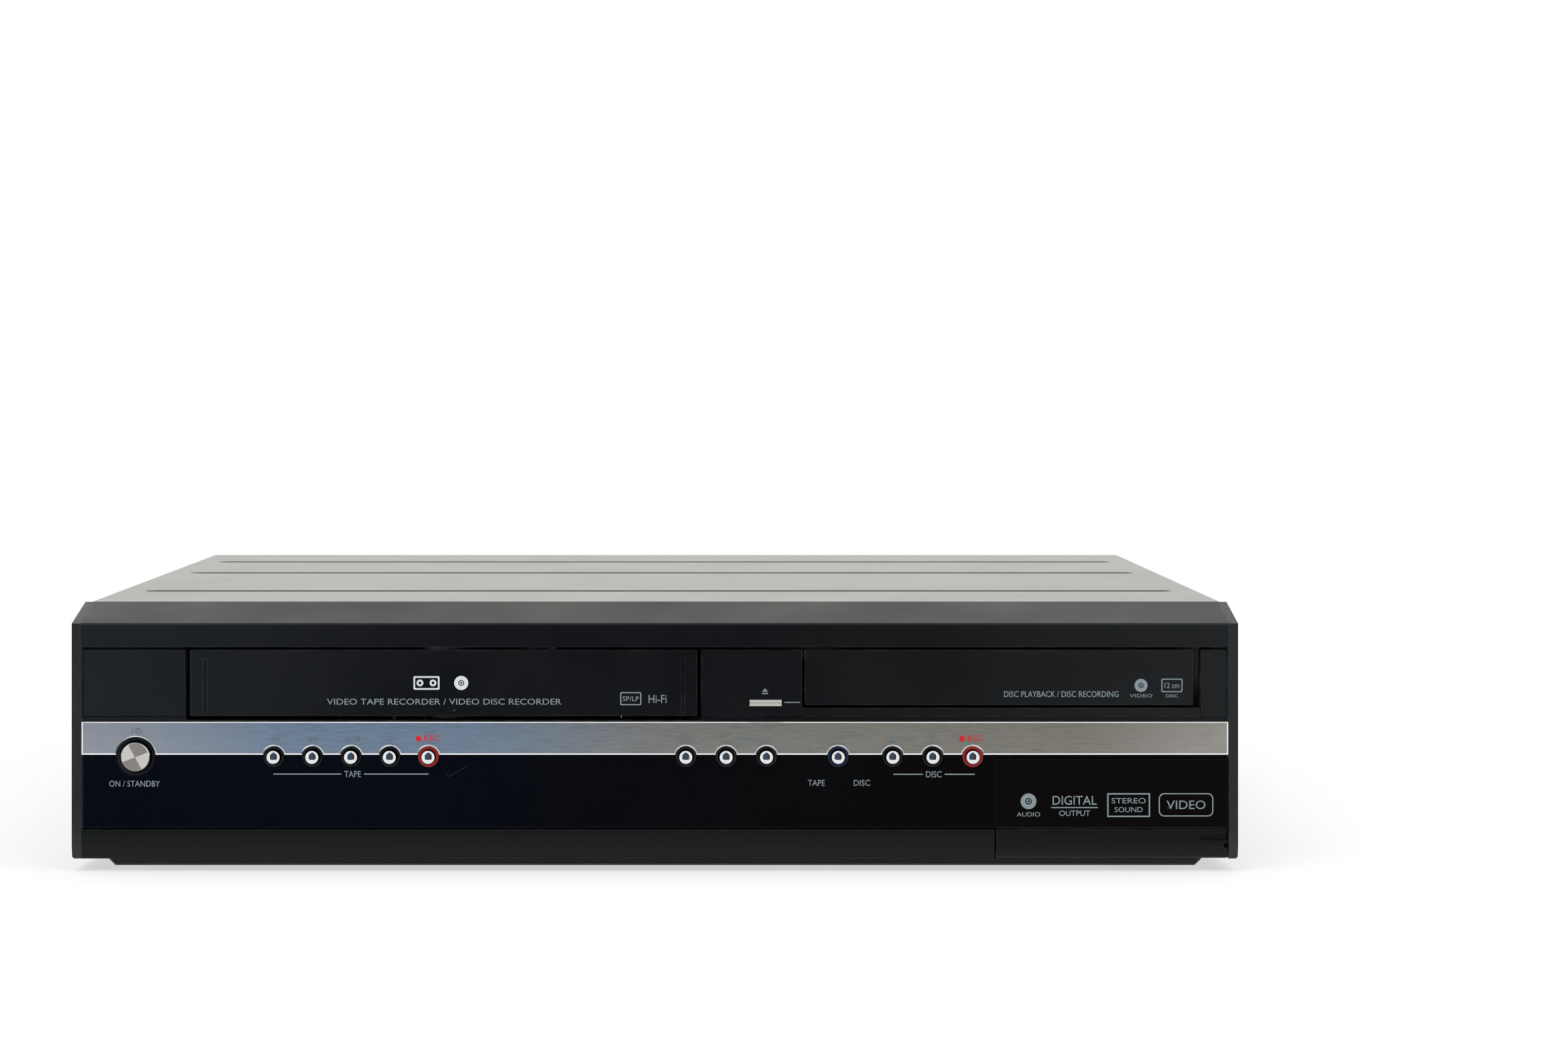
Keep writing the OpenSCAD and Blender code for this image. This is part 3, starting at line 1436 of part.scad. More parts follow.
motor_r = 11;
spindle_r = 1;
rod_r = 1.25;
rod_x = 20;
sled_y = [spindle_y + hub_r + 2, spindle_y + hub_r + 18];
clamp_r = 12.5;
clamp_neck_r = 10.2;

module drive_chassis() {
    wall_x = drive_half - drive_wall;
    color([0.7, 0.71, 0.72]) {
        difference() {
            slab([disc_x - drive_half, disc_x + drive_half], drive_y, drive_z);
            slab([disc_x - wall_x, disc_x + wall_x], [drive_y[0] - eps, drive_y[1] - drive_wall],
                [drive_z[0] + drive_wall, drive_z[1] + eps]);
        }
        for (side = [-1, 1]) {
            rail_x = [disc_x + min(side * rail_in, side * (wall_x + 0.5)),
                disc_x + max(side * rail_in, side * (wall_x + 0.5))];
            rail_y = [drive_y[0] + 2, drive_y[1] - drive_wall];
            slab(rail_x, rail_y, [tray_bottom - sliding - 1.5, tray_bottom - sliding]);
            slab(rail_x, rail_y, [tray_top + sliding, tray_top + sliding + 1.5]);
        }
        for (sx = [-1, 1], y = lift_pin_ys) {
            post(disc_x + sx * lift_pin_x, y, [drive_z[0] + drive_wall / 2, tray_bottom - 1], lift_pin_r);
            post(disc_x + sx * lift_pin_x, y, [drive_z[0] + drive_wall / 2, pickup_z[0] - sliding], lift_pin_r + 1.2);
        }
        for (sx = [-1, 1], y = [drive_y[0] + 30, drive_y[1] - 8])
            post(disc_x + sx * (drive_half - 8), y, [pan_top, drive_z[0] + drive_wall / 2], 4);
    }
}

module drive_cover() {
    color([0.74, 0.75, 0.76])
        difference() {
            slab([disc_x - drive_half, disc_x + drive_half], drive_y, [drive_z[1], drive_z[1] + drive_wall]);
            translate([disc_x, spindle_y, drive_z[1] - eps])
                cylinder(r = clamp_neck_r + 0.1, h = drive_wall + 2 * eps);
            for (k = [-2:2])
                slab([disc_x + k * 20 - 5, disc_x + k * 20 + 5], [drive_y[1] - 60, drive_y[1] - 57],
                    [drive_z[1] - eps, drive_z[1] + drive_wall + eps]);
        }
}

module disc_clamp() {
    lower_z = tray_top + 1.2;
    upper_z = drive_z[1] + drive_wall + sliding;
    color([0.1, 0.1, 0.11]) {
        post(disc_x, spindle_y, [lower_z, lower_z + 2], clamp_r);
        post(disc_x, spindle_y, [lower_z + 1, upper_z + 0.5], clamp_neck_r);
        post(disc_x, spindle_y, [upper_z, upper_z + 1.2], clamp_r);
    }
}

module disc_tray() {
    tray_y = [at_depth(tray_back_d), at_depth(tray_back_d) + tray_length];
    recess_r = disc_d / 2 + 0.75;
    rim_h = 1.6;
    color([0.08, 0.08, 0.085])
        difference() {
            union() {
                slab([disc_x - tray_half, disc_x + tray_half], tray_y, [tray_bottom, tray_top]);
                for (side = [-1, 1])
                    slab([disc_x + side * (rail_in - 2.2) - 1, disc_x + side * (rail_in - 2.2) + 1],
                        [tray_y[0], tray_y[1] - 8], [tray_top - eps, tray_top + rim_h]);
                slab([disc_x - rail_in + 2, disc_x + rail_in - 2], [tray_y[0], tray_y[0] + 4],
                    [tray_top - eps, tray_top + rim_h]);
            }
            translate([disc_x, spindle_y, tray_top - recess_depth])
                cylinder(r = recess_r, h = recess_depth + 3);
            translate([disc_x, spindle_y, tray_bottom - eps])
                cylinder(r = tray_slot_half, h = tray_t + 2 * eps);
            slab([disc_x - tray_slot_half, disc_x + tray_slot_half], [spindle_y, tray_y[1] + eps],
                [tray_bottom - eps, tray_top + eps]);
            // Inner step for the small disc size
            translate([disc_x, spindle_y, tray_top - recess_depth - 0.5])
                cylinder(r = disc_d / 3 + 0.75, h = recess_depth);
        }
}

module tray_front() {
    front_x = [disc_x - tray_front_w / 2, disc_x + tray_front_w / 2];
    color([0.045, 0.05, 0.055])
        difference() {
            front_slab(front_x, [panel_d0, tray_back_d], [tray_z0, tray_z1]);
            front_slab([front_x[0] + 3, front_x[1] - 3], [tray_back_d - 0.8, tray_back_d + eps],
                [tray_top + 3, tray_z1 - 3]);
        }
}

module pickup_frame() {
    color([0.16, 0.16, 0.17]) {
        difference() {
            union() {
                slab([disc_x - pickup_half, disc_x + pickup_half], pickup_y, pickup_z);
                post(disc_x, spindle_y, [pickup_z[0] - 2.6, pickup_z[0] + 0.5], motor_r);
            }
            slab([disc_x - pickup_well_half, disc_x + pickup_well_half], well_y, [pickup_z[0] - eps, pickup_z[1] + eps]);
            for (sx = [-1, 1], y = lift_pin_ys)
                post(disc_x + sx * lift_pin_x, y, [pickup_z[0] - eps, pickup_z[1] + eps], lift_pin_r + running);
            post(disc_x, spindle_y, [pickup_z[0] - 2, pickup_z[1] + eps], spindle_r + running);
        }
    }
    color([0.8, 0.81, 0.82])
        for (side = [-1, 1])
            translate([disc_x + side * rod_x, well_y[0] - 0.5, (pickup_z[0] + pickup_z[1]) / 2])
                rotate([-90, 0, 0])
                    cylinder(r = rod_r, h = well_y[1] - well_y[0] + 1);
}

module turntable() {
    color([0.15, 0.15, 0.16]) {
        difference() {
            post(disc_x, spindle_y, [hub_seat_z - 2, hub_seat_z], hub_r);
            post(disc_x, spindle_y, [hub_seat_z - 2 - eps, hub_seat_z - 1.4], hub_r - 6);
        }
        translate([disc_x, spindle_y, hub_seat_z])
            cylinder(r1 = 7.4, r2 = 6, h = 2);
        post(disc_x, spindle_y, [pickup_z[0] - 1.4, hub_seat_z - 1], spindle_r);
    }
}

module laser_sled() {
    rod_z = (pickup_z[0] + pickup_z[1]) / 2;
    color([0.2, 0.2, 0.22])
        difference() {
            union() {
                slab([disc_x - rod_x - 2.6, disc_x + rod_x + 2.6], sled_y, [rod_z - 2.4, rod_z + 2.4]);
                slab([disc_x - 11, disc_x + 11], [sled_y[0] + 1, sled_y[1] - 1], [rod_z - 3, hub_seat_z - 0.4]);
            }
            for (side = [-1, 1])
                translate([disc_x + side * rod_x, sled_y[0] - eps, rod_z])
                    rotate([-90, 0, 0])
                        cylinder(r = rod_r + running, h = sled_y[1] - sled_y[0] + 2 * eps);
        }
    color([0.5, 0.3, 0.5])
        post(disc_x, (sled_y[0] + sled_y[1]) / 2, [hub_seat_z - 1, hub_seat_z + 0.8], 3.5);
}

front_bezel();
top_cover();
chassis_pan();
rear_panel();
feet();
cover_screws();
trim_strip();
display_window();
button_collars();
record_collars();
dubbing_collar();
power_button();
eject_button();
tape_rewind_key();
tape_forward_key();
tape_stop_key();
tape_play_key();
tape_record_key();
input_key();
channel_down_key();
channel_up_key();
dubbing_key();
disc_stop_key();
disc_play_key();
disc_record_key();
cassette_door();
av_door();
front_sockets();
front_board();
display_tube();
main_board();
power_board();
scart_sockets();
phono_jacks();
aerial_sockets();
mains_inlet();
fan_frame();
fan_rotor();
deck_plate();
lower_drum();
upper_drum();
capstan_motor();
capstan();
pinch_arm();
pinch_roller();
supply_reel();
takeup_reel();
tape_guides();
tension_arm();
loader_frame();
carriage_shuttle();
cassette_carriage();
drive_chassis();
drive_cover();
disc_tray();
tray_front();
pickup_frame();
turntable();
laser_sled();
disc_clamp();
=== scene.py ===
"""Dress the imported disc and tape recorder: finishes, rounded edges, keys, print, studio and camera."""

import json
import logging
import math
from collections.abc import Callable, Iterable, Sequence
from dataclasses import dataclass, field
from enum import Enum

import bmesh
import bpy
from mathutils import Matrix, Vector


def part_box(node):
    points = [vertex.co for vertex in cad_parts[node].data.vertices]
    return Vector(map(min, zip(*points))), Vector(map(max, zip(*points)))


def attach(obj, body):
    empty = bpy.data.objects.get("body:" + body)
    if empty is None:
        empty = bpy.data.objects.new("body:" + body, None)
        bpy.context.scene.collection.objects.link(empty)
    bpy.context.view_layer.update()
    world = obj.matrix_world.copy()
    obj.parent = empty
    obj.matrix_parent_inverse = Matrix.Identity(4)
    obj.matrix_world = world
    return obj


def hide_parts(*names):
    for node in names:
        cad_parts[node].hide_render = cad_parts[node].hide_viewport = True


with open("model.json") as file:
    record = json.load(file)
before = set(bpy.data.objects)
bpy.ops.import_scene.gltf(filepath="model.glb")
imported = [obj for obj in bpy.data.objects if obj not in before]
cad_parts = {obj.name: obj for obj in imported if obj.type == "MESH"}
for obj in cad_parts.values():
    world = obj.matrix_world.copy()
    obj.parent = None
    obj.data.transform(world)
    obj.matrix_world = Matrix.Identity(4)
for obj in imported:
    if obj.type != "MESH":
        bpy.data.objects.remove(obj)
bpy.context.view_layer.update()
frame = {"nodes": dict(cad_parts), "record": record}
MM = 0.001
LOG = logging.getLogger("recorder")

Span = tuple[float, float]
Triple = tuple[float, float, float]
Box = tuple[float, float, float, float]
Outline = Sequence[Span]
Tree = bpy.types.NodeTree
Node = bpy.types.Node
Socket = bpy.types.NodeSocket

WHITE = (1.0, 1.0, 1.0, 1.0)


def linear(code: str) -> Box:
    """Turn an sRGB hex colour into the linear values that a shader takes.

    Args:
        code: The colour, such as "#d8232a".

    Returns:
        Red, green, blue and an alpha of 1.
    """
    parts = [int(code[i : i + 2], 16) / 255 for i in (1, 3, 5)]
    red, green, blue = (p / 12.92 if p <= 0.04045 else ((p + 0.055) / 1.055) ** 2.4 for p in parts)
    return red, green, blue, 1.0


def add_node(tree: Tree, kind: str, inputs: dict | Sequence = (), **settings: object) -> Node:
    """Add a node with its settings, and link or fill its inputs.

    Args:
        tree: The node tree that takes the node.
        kind: The node's type.
        inputs: Nodes, sockets or plain values, by the input's name or number, or in the inputs' order.
        settings: Properties of the node itself.

    Returns:
        The new node.
    """
    node = tree.nodes.new(kind)
    for name, value in settings.items():
        setattr(node, name, value)
    for key, value in inputs.items() if isinstance(inputs, dict) else enumerate(inputs):
        if isinstance(value, Node):
            value = value.outputs[0]
        if isinstance(value, Socket):
            tree.links.new(value, node.inputs[key])
        else:
            node.inputs[key].default_value = value
    return node


def fresh_tree(owner: bpy.types.Material | bpy.types.World) -> Tree:
    """Turn on the nodes of a material or a world, and take out those that it starts with.

    Args:
        owner: The material or world.

    Returns:
        Its empty tree.
    """
    owner.use_nodes = True
    owner.node_tree.nodes.clear()
    return owner.node_tree


def link_object(name: str, data: bpy.types.ID) -> bpy.types.Object:
    """Make an object and put it in the scene.

    Args:
        name: The object's name.
        data: Its mesh, curve, light or camera.

    Returns:
        The object.
    """
    made = bpy.data.objects.new(name, data)
    bpy.context.scene.collection.objects.link(made)
    return made


def final_mesh(thing: bpy.types.Object) -> bpy.types.Mesh:
    """Return a new mesh of an object as its modifiers leave it."""
    bpy.context.view_layer.update()
    return bpy.data.meshes.new_from_object(thing.evaluated_get(bpy.context.evaluated_depsgraph_get()))


class Grain(Enum):
    """How a surface was made, as the pitch of its grain along X, Y and Z against the finest direction."""

    MOULDED = (1.0, 1.0, 1.0)
    BRUSHED_ALONG_X = (0.035, 0.5, 1.0)
    ROLLED = (0.04, 1.0, 0.9)
    SPUN = (1.0, 0.0, 1.001)


@dataclass(frozen=True)
class Finish:
    """One real material and how its surface was made. Colours are sRGB hex and lengths are millimetres."""

    name: str
    base: str
    tone: str
    roughness: float
    metallic: float = 0.0
    ior: float = 1.5
    specular: float = 0.5
    grain: Grain = Grain.MOULDED
    grain_mm: float = 0.6
    relief_mm: float = 0.012
    spread: float = 0.06
    streak: float = 0.3
    cloud_mm: float = 45.0
    stretch: float = 0.0
    worn: str = ""
    specks: str = ""
    # Painted highlight: two paler sectors on a spun face
    sectors: str = ""
    centre: Triple = (0.0, 0.0, 0.0)
    # Painted reflection: a tint that drifts along X over this span
    drift: tuple[str, ...] = ()
    drift_over: Span = (-75.0, 12.0)
    # Painted sheen: paler towards the ends of a long piece
    pale_end: str = ""
    pale_from: Span = (0.0, 0.0)
    pale_share: float = 0.85
    half_length: float = 212.0

    def material(self) -> bpy.types.Material:
        """Build the material, or find it where it has been built.

        Returns:
            The material.
        """
        found = bpy.data.materials.get(self.name)
        if found is not None:
            return found
        made = bpy.data.materials.new(self.name)
        tree = fresh_tree(made)
        noise_span = (0.35, 0.65)
        place = add_node(tree, "ShaderNodeTexCoord").outputs["Object"]
        if any(self.centre):
            centre = tuple(c * MM for c in self.centre)
            place = add_node(tree, "ShaderNodeVectorMath", (place, centre), operation="SUBTRACT").outputs[0]
        grain = self._grain(tree, place)
        clouds = {"Vector": place, "Scale": 1 / (self.cloud_mm * MM), "Detail": 3.0}
        cloud = add_node(tree, "ShaderNodeTexNoise", clouds)
        share = add_node(tree, "ShaderNodeMix", {0: self.streak, 2: cloud, 3: grain})
        share = add_node(tree, "ShaderNodeMapRange", (share, *noise_span, 0.0, 1.0))
        tones = {0: share, 6: linear(self.base), 7: linear(self.tone)}
        colour = add_node(tree, "ShaderNodeMix", tones, data_type="RGBA").outputs[2]
        colour = self._sectors(tree, place, self._ends(tree, place, colour))
        smooth, matt = max(self.roughness - self.spread, 0.0), min(self.roughness + self.spread, 1.0)
        rough = add_node(tree, "ShaderNodeMapRange", (share, 0.0, 1.0, smooth, matt))
        colour, rough = self._marks(tree, place, colour, rough)
        height = {"Height": grain, "Distance": self.relief_mm * MM, "Strength": 1.0}
        inputs = {
            "Base Color": colour,
            "Roughness": rough,
            "Normal": add_node(tree, "ShaderNodeBump", height),
            "Metallic": self.metallic,
            "IOR": self.ior,
            "Specular IOR Level": self.specular,
        }
        if self.stretch:
            inputs |= {"Anisotropic": self.stretch, "Tangent": self._across(tree, place)}
        shader = add_node(tree, "ShaderNodeBsdfPrincipled", inputs)
        add_node(tree, "ShaderNodeOutputMaterial", {"Surface": shader})
        return made

    def _grain(self, tree: Tree, place: Socket) -> Node:
        """Lay the grain that brushing, spinning, rolling or moulding leaves.

        Args:
            tree: The material's nodes.
            place: The point in the frame, in metres.

        Returns:
            A node whose first output is the grain's height, from 0 to 1.
        """
        finest, scales = 1 / (self.grain_mm * MM), self.grain.value
        if self.grain is Grain.SPUN:
            flat = add_node(tree, "ShaderNodeVectorMath", (place, scales), operation="MULTIPLY")
            ring = add_node(tree, "ShaderNodeVectorMath", (flat,), operation="LENGTH").outputs["Value"]
            ring = add_node(tree, "ShaderNodeMath", (ring, finest), operation="MULTIPLY")
            scaled = add_node(tree, "ShaderNodeCombineXYZ", (ring,))
        else:
            scales = tuple(s * finest for s in scales)
            scaled = add_node(tree, "ShaderNodeVectorMath", (place, scales), operation="MULTIPLY")
        return add_node(tree, "ShaderNodeTexNoise", {"Vector": scaled, "Scale": 1.0, "Detail": 2.0})

    def _across(self, tree: Tree, place: Socket) -> Node:
        """Find the direction across the grain's lines, in which the gloss spreads.

        Args:
            tree: The material's nodes.
            place: The point in the frame, in metres.

        Returns:
            A node whose first output is the direction.
        """
        if self.grain is not Grain.SPUN:
            return add_node(tree, "ShaderNodeCombineXYZ", {"Z": 1.0})
        flat = add_node(tree, "ShaderNodeVectorMath", (place, (1.0, 0.0, 1.0)), operation="MULTIPLY")
        return add_node(tree, "ShaderNodeVectorMath", (flat,), operation="NORMALIZE")

    def _ends(self, tree: Tree, place: Socket, colour: Socket) -> Socket:
        """Paint a reflection's tint that drifts along X on a long piece, and a painted sheen that grows paler
        at its ends.

        Args:
            tree: The material's nodes.
            place: The point in the frame, in metres.
            colour: The colour so far.

        Returns:
            The colour with the painted reflection tint and the painted sheen at the ends.
        """
        along = add_node(tree, "ShaderNodeSeparateXYZ", (place,)).outputs["X"]
        if self.drift:
            over = (along, *(x * MM for x in self.drift_over), 0.0, 1.0)
            share = add_node(tree, "ShaderNodeMapRange", over, interpolation_type="SMOOTHSTEP")
            tones = dict(zip((0, 6, 7), (share, *map(linear, self.drift))))
            tone = add_node(tree, "ShaderNodeMix", tones, data_type="RGBA").outputs[2]
            both = {0: 1.0, 6: colour, 7: tone}
            colour = add_node(tree, "ShaderNodeMix", both, data_type="RGBA", blend_type="MULTIPLY").outputs[2]
        if self.pale_end:
            for start, end in zip(self.pale_from, (-self.half_length, self.half_length)):
                over = (along, start * MM, end * MM, 0.0, self.pale_share)
                share = add_node(tree, "ShaderNodeMapRange", over, interpolation_type="SMOOTHSTEP")
                both = {0: share, 6: colour, 7: linear(self.pale_end)}
                colour = add_node(tree, "ShaderNodeMix", both, data_type="RGBA").outputs[2]
        return colour

    def _sectors(self, tree: Tree, place: Socket, colour: Socket) -> Socket:
        """Paint two paler sectors on a spun face: a painted highlight where its grain would catch the light.

        Args:
            tree: The material's nodes.
            place: The point in the frame, in metres.
            colour: The colour so far.

        Returns:
            The colour with the painted highlight sectors, where the finish has them.
        """
        if not self.sectors:
            return colour
        sector_turn, sector_edge = 0.7, (0.04, 0.24)
        parts = add_node(tree, "ShaderNodeSeparateXYZ", (place,)).outputs
        turn = add_node(tree, "ShaderNodeMath", (parts["Z"], parts["X"]), operation="ARCTAN2")
        turn = add_node(tree, "ShaderNodeMath", (turn, 2.0, sector_turn), operation="MULTIPLY_ADD")
        wave = add_node(tree, "ShaderNodeMath", (turn,), operation="COSINE")
        edge = (wave, *sector_edge, 0.0, 1.0)
        share = add_node(tree, "ShaderNodeMapRange", edge, interpolation_type="SMOOTHSTEP")
        both = {0: share, 6: colour, 7: linear(self.sectors)}
        return add_node(tree, "ShaderNodeMix", both, data_type="RGBA").outputs[2]

    def _marks(self, tree: Tree, place: Socket, colour: Socket, rough: Node) -> tuple[Socket, Node]:
        """Add wear on the edges and specks of dust.

        Args:
            tree: The material's nodes.
            place: The point in the frame, in metres.
            colour: The colour so far.
            rough: The roughness so far.

        Returns:
            The colour and the roughness with the marks on them.
        """
        wear_mm, wear_scale, wear_edge, wear_patch = 0.35, 160.0, (0.995, 0.85), (0.42, 0.62)
        speck_scale, speck_size, bare_share, dusty = 95.0, 0.022, 0.86, 0.8
        if self.worn:
            soft = add_node(tree, "ShaderNodeBevel", {"Radius": wear_mm * MM}, samples=3)
            flat = add_node(tree, "ShaderNodeNewGeometry").outputs["True Normal"]
            turned = add_node(tree, "ShaderNodeVectorMath", (soft, flat), operation="DOT_PRODUCT")
            edge = (turned.outputs["Value"], *wear_edge, 0.0, 1.0)
            edge = add_node(tree, "ShaderNodeMapRange", edge)
            patch = {"Vector": place, "Scale": wear_scale, "Detail": 4.0}
            patch = add_node(tree, "ShaderNodeTexNoise", patch)
            patch = add_node(tree, "ShaderNodeMapRange", (patch, *wear_patch, 0.0, 1.0))
            share = add_node(tree, "ShaderNodeMath", (edge, patch), operation="MULTIPLY")
            both = {0: share, 6: colour, 7: linear(self.worn)}
            colour = add_node(tree, "ShaderNodeMix", both, data_type="RGBA").outputs[2]
        if self.specks:
            cells = add_node(tree, "ShaderNodeTexVoronoi", {"Vector": place, "Scale": speck_scale}).outputs
            near = add_node(tree, "ShaderNodeMath", (cells["Distance"], speck_size), operation="LESS_THAN")
            some = add_node(tree, "ShaderNodeSeparateColor", (cells["Color"],))
            some = add_node(tree, "ShaderNodeMath", (some, bare_share), operation="GREATER_THAN")
            share = add_node(tree, "ShaderNodeMath", (near, some), operation="MULTIPLY")
            both = {0: share, 6: colour, 7: linear(self.specks)}
            colour = add_node(tree, "ShaderNodeMix", both, data_type="RGBA").outputs[2]
            rough = add_node(tree, "ShaderNodeMix", {0: share, 2: rough, 3: dusty})
        return colour, rough


def metal(name: str, base: str, tone: str, roughness: float, **more: object) -> Finish:
    """Describe a bare or plated metal with a fine relief."""
    return Finish(name, base, tone, roughness, **{"metallic": 1.0, "relief_mm": 0.002, **more})


def abs_plastic(name: str, base: str, tone: str, roughness: float, **more: object) -> Finish:
    """Describe moulded ABS from a fine tool."""
    return Finish(name, base, tone, roughness, **{"ior": 1.54, "relief_mm": 0.002, **more})


def ink(name: str, base: str, tone: str, roughness: float, specular: float = 0.3) -> Finish:
    """Describe a flat layer with no grain of its own."""
    return Finish(name, base, tone, roughness, relief_mm=0.0, specular=specular)


# High-impact polystyrene from a spark-eroded mould: near black, a broad soft sheen, and a painted sheen that
# is paler towards its ends
FRONT_PLASTIC = Finish(
    "satin_polystyrene", "#0a0c0e", "#0e1012", 0.42, ior=1.59, specular=0.22, worn="#3a3e40",
    specks="#6b7072", pale_end="#1a1d1f", pale_from=(-50.0, 50.0),
)
# The same moulding on the ends' narrow strips, a little paler
STRIP_PLASTIC = Finish(
    "satin_polystyrene_strip", "#1f2325", "#25292b", 0.4, ior=1.59, specular=0.25, worn="#4a4e50"
)
# The same moulding at the foot, darker: painted shade where it takes less light
LIP_PLASTIC = Finish(
    "satin_polystyrene_lip", "#07090a", "#0a0c0d", 0.44, ior=1.59, specular=0.16, worn="#33373a",
    specks="#6b7072",
)
# The same plastic from a polished mould: black with a clear gloss
FLAP_GLOSS = Finish(
    "polished_polystyrene", "#060607", "#080809", 0.08, ior=1.59, specular=0.24, relief_mm=0.0,
    specks="#55565c",
)
# Cast acrylic with a smoke tint: a hard mirror-like gloss, nearly black
WINDOW_ACRYLIC = Finish(
    "smoked_acrylic", "#050507", "#070709", 0.04, ior=1.49, specular=0.29, relief_mm=0.0, specks="#5c5d66"
)
# Powder-coated sheet steel: fine orange peel that greys at a grazing view
COVER_PAINT = Finish(
    "powder_coated_steel", "#151614", "#181917", 0.2, grain_mm=1.1, relief_mm=0.02, spread=0.012,
    worn="#4a4b48", specks="#77786f",
)
# Aluminium strip brushed along its length: long fine lines, gloss spread across them. Its blue-to-warm tint
# along X is a painted reflection, and its paler ends are a painted sheen.
# The real lines are 0.1 mm apart and are drawn at 0.22 mm, so that they show.
TRIM_BRUSHED = metal(
    "brushed_aluminium", "#ffffff", "#d6d9dc", 0.46, grain=Grain.BRUSHED_ALONG_X, grain_mm=0.22,
    relief_mm=0.016, spread=0.1, streak=0.93, cloud_mm=70.0, stretch=0.92, specks="#d9dde2",
    drift=("#d8efff", "#eae7d9"), pale_end="#fffef8", pale_from=(-120.0, 150.0),
)
# Diamond-cut edge of the strip: bare bright metal
CUT_EDGE = metal("diamond_cut_aluminium", "#ffffff", "#f8f9fa", 0.2, relief_mm=0.0)
# Chromium plate on a polished ABS key: a mirror with the faintest blue
KEY_CHROME = metal("chromium_plate", "#e9ebee", "#e1e4e9", 0.03, relief_mm=0.0, spread=0.01)
# Satin-anodised extrusion: the oxide film scatters part of the light, which keeps it pale
BAR_ALUMINIUM = metal(
    "satin_anodised_aluminium", "#f4f1ea", "#e4e1da", 0.5, metallic=0.75, grain=Grain.BRUSHED_ALONG_X,
    relief_mm=0.004,
)
# Pad-printed inks: flat and slightly chalky
INK_GREY = ink("grey_ink", "#828f94", "#778489", 0.55)
INK_FAINT = ink("faded_ink", "#5d6b70", "#647277", 0.6)
INK_RED = ink("red_ink", "#c81d29", "#bd1a25", 0.5)
INK_SILVER = ink("silver_ink", "#d3d6d9", "#c2c6ca", 0.4, 0.4)
# A hairline scratch in the gloss: matt and a little greyer
SCRATCH = ink("scratched_acrylic", "#2b2d33", "#34363c", 0.6)
# Zinc-plated sheet: a pale grey with the rolling direction just showing
ZINC_SHEET = metal(
    "zinc_plated_sheet", "#b9bcbd", "#a8acae", 0.38, grain=Grain.ROLLED, grain_mm=0.5, relief_mm=0.006
)
# The same sheet phosphated: a darker, flatter grey
DARK_SHEET = metal(
    "phosphated_sheet", "#8d9092", "#7d8183", 0.42, grain=Grain.ROLLED, grain_mm=0.5, relief_mm=0.006
)
# Blackened screw steel, bright where a driver has worn it
BLACK_SCREW = metal("black_zinc_screw", "#1b1b1c", "#252526", 0.35, relief_mm=0.012, worn="#8f9091")
# Black ABS with a satin face
BLACK_ABS = abs_plastic(
    "satin_abs", "#131314", "#19191b", 0.45, specular=0.4, relief_mm=0.012, worn="#2c2c2e"
)
# Flash gold on brass: warm and bright
GOLD_PLATE = metal("gold_plated_brass", "#d6b25e", "#c9a24d", 0.22)
# Coloured ABS rings of the jacks, clean and half glossy
JACK_YELLOW = abs_plastic("yellow_abs", "#d9b21f", "#cda61a", 0.35)
JACK_WHITE = abs_plastic("white_abs", "#d8d8d2", "#cfcfc8", 0.35)
JACK_RED = abs_plastic("bright_red_abs", "#b3201f", "#a81c1c", 0.35)

# Finish of every CAD node that keeps its own mesh, by the record's material slot
SLOT_FINISH = {
    "front_plastic": FRONT_PLASTIC,
    "flap_plastic": FLAP_GLOSS,
    "cover_paint": COVER_PAINT,
    "base_steel": ZINC_SHEET,
    "deck_steel": ZINC_SHEET,
    "carriage_steel": DARK_SHEET,
    "arm_steel": DARK_SHEET,
    # Ground pins and shafts: a narrow bright line of light
    "bright_steel": metal("ground_steel", "#d5d7d8", "#c8cbcd", 0.16, grain_mm=0.25),
    "screw_black": BLACK_SCREW,
    "window_gloss": WINDOW_ACRYLIC,
    "trim_aluminium": TRIM_BRUSHED,
    "button_aluminium": BAR_ALUMINIUM,
    "bar_aluminium": BAR_ALUMINIUM,
    "key_chrome": KEY_CHROME,
    # Moulded ABS rings with a soft gloss: black, dull red and navy
    "collar_black": abs_plastic("black_abs", "#0a0a0b", "#0e0e10", 0.22, specular=0.3, worn="#2b2f32"),
    "collar_red": abs_plastic("red_abs", "#8c2625", "#9a2c2a", 0.3, specular=0.3),
    "collar_blue": abs_plastic("navy_abs", "#111b36", "#16223f", 0.3, specular=0.3),
    # Natural rubber, dull
    "foot_rubber": Finish(
        "moulded_rubber", "#0d0d0e", "#131314", 0.8, ior=1.52, specular=0.3, grain_mm=0.8
    ),
    "black_plastic": BLACK_ABS,
    "socket_plastic": BLACK_ABS,
    "jack_metal": GOLD_PLATE,
    # Nickel on turned brass: a warm silver
    "aerial_metal": metal("nickel_plate", "#c6c4bd", "#bab8b0", 0.2),
    # Solder mask over copper: green with faint patches where the copper lies
    "board_green": Finish(
        "solder_mask", "#1d4a2c", "#245636", 0.35, ior=1.55, grain_mm=2.2, relief_mm=0.02, streak=0.5,
        cloud_mm=12.0,
    ),
    # Paper and resin board: flat brown, mottled
    "board_brown": Finish(
        "phenolic_board", "#8f6a3a", "#7d5a2e", 0.5, ior=1.55, grain_mm=1.5, streak=0.5, cloud_mm=15.0
    ),
    # Dark display glass: one sharp reflection
    "tube_glass": Finish("smoked_glass", "#14201d", "#101a18", 0.05, ior=1.52, relief_mm=0.0),
    # Turned drum and plated motor shells: soft bands of light
    "drum_aluminium": metal("turned_aluminium", "#9b9da0", "#8d9093", 0.4, grain_mm=0.2),
    "motor_iron": metal("plated_iron", "#6b6d70", "#77797c", 0.4, relief_mm=0.01),
    # Ground roller rubber, dull and fine
    "roller_rubber": Finish(
        "ground_rubber", "#1a1816", "#211f1c", 0.7, ior=1.52, specular=0.3, grain_mm=0.3
    ),
}


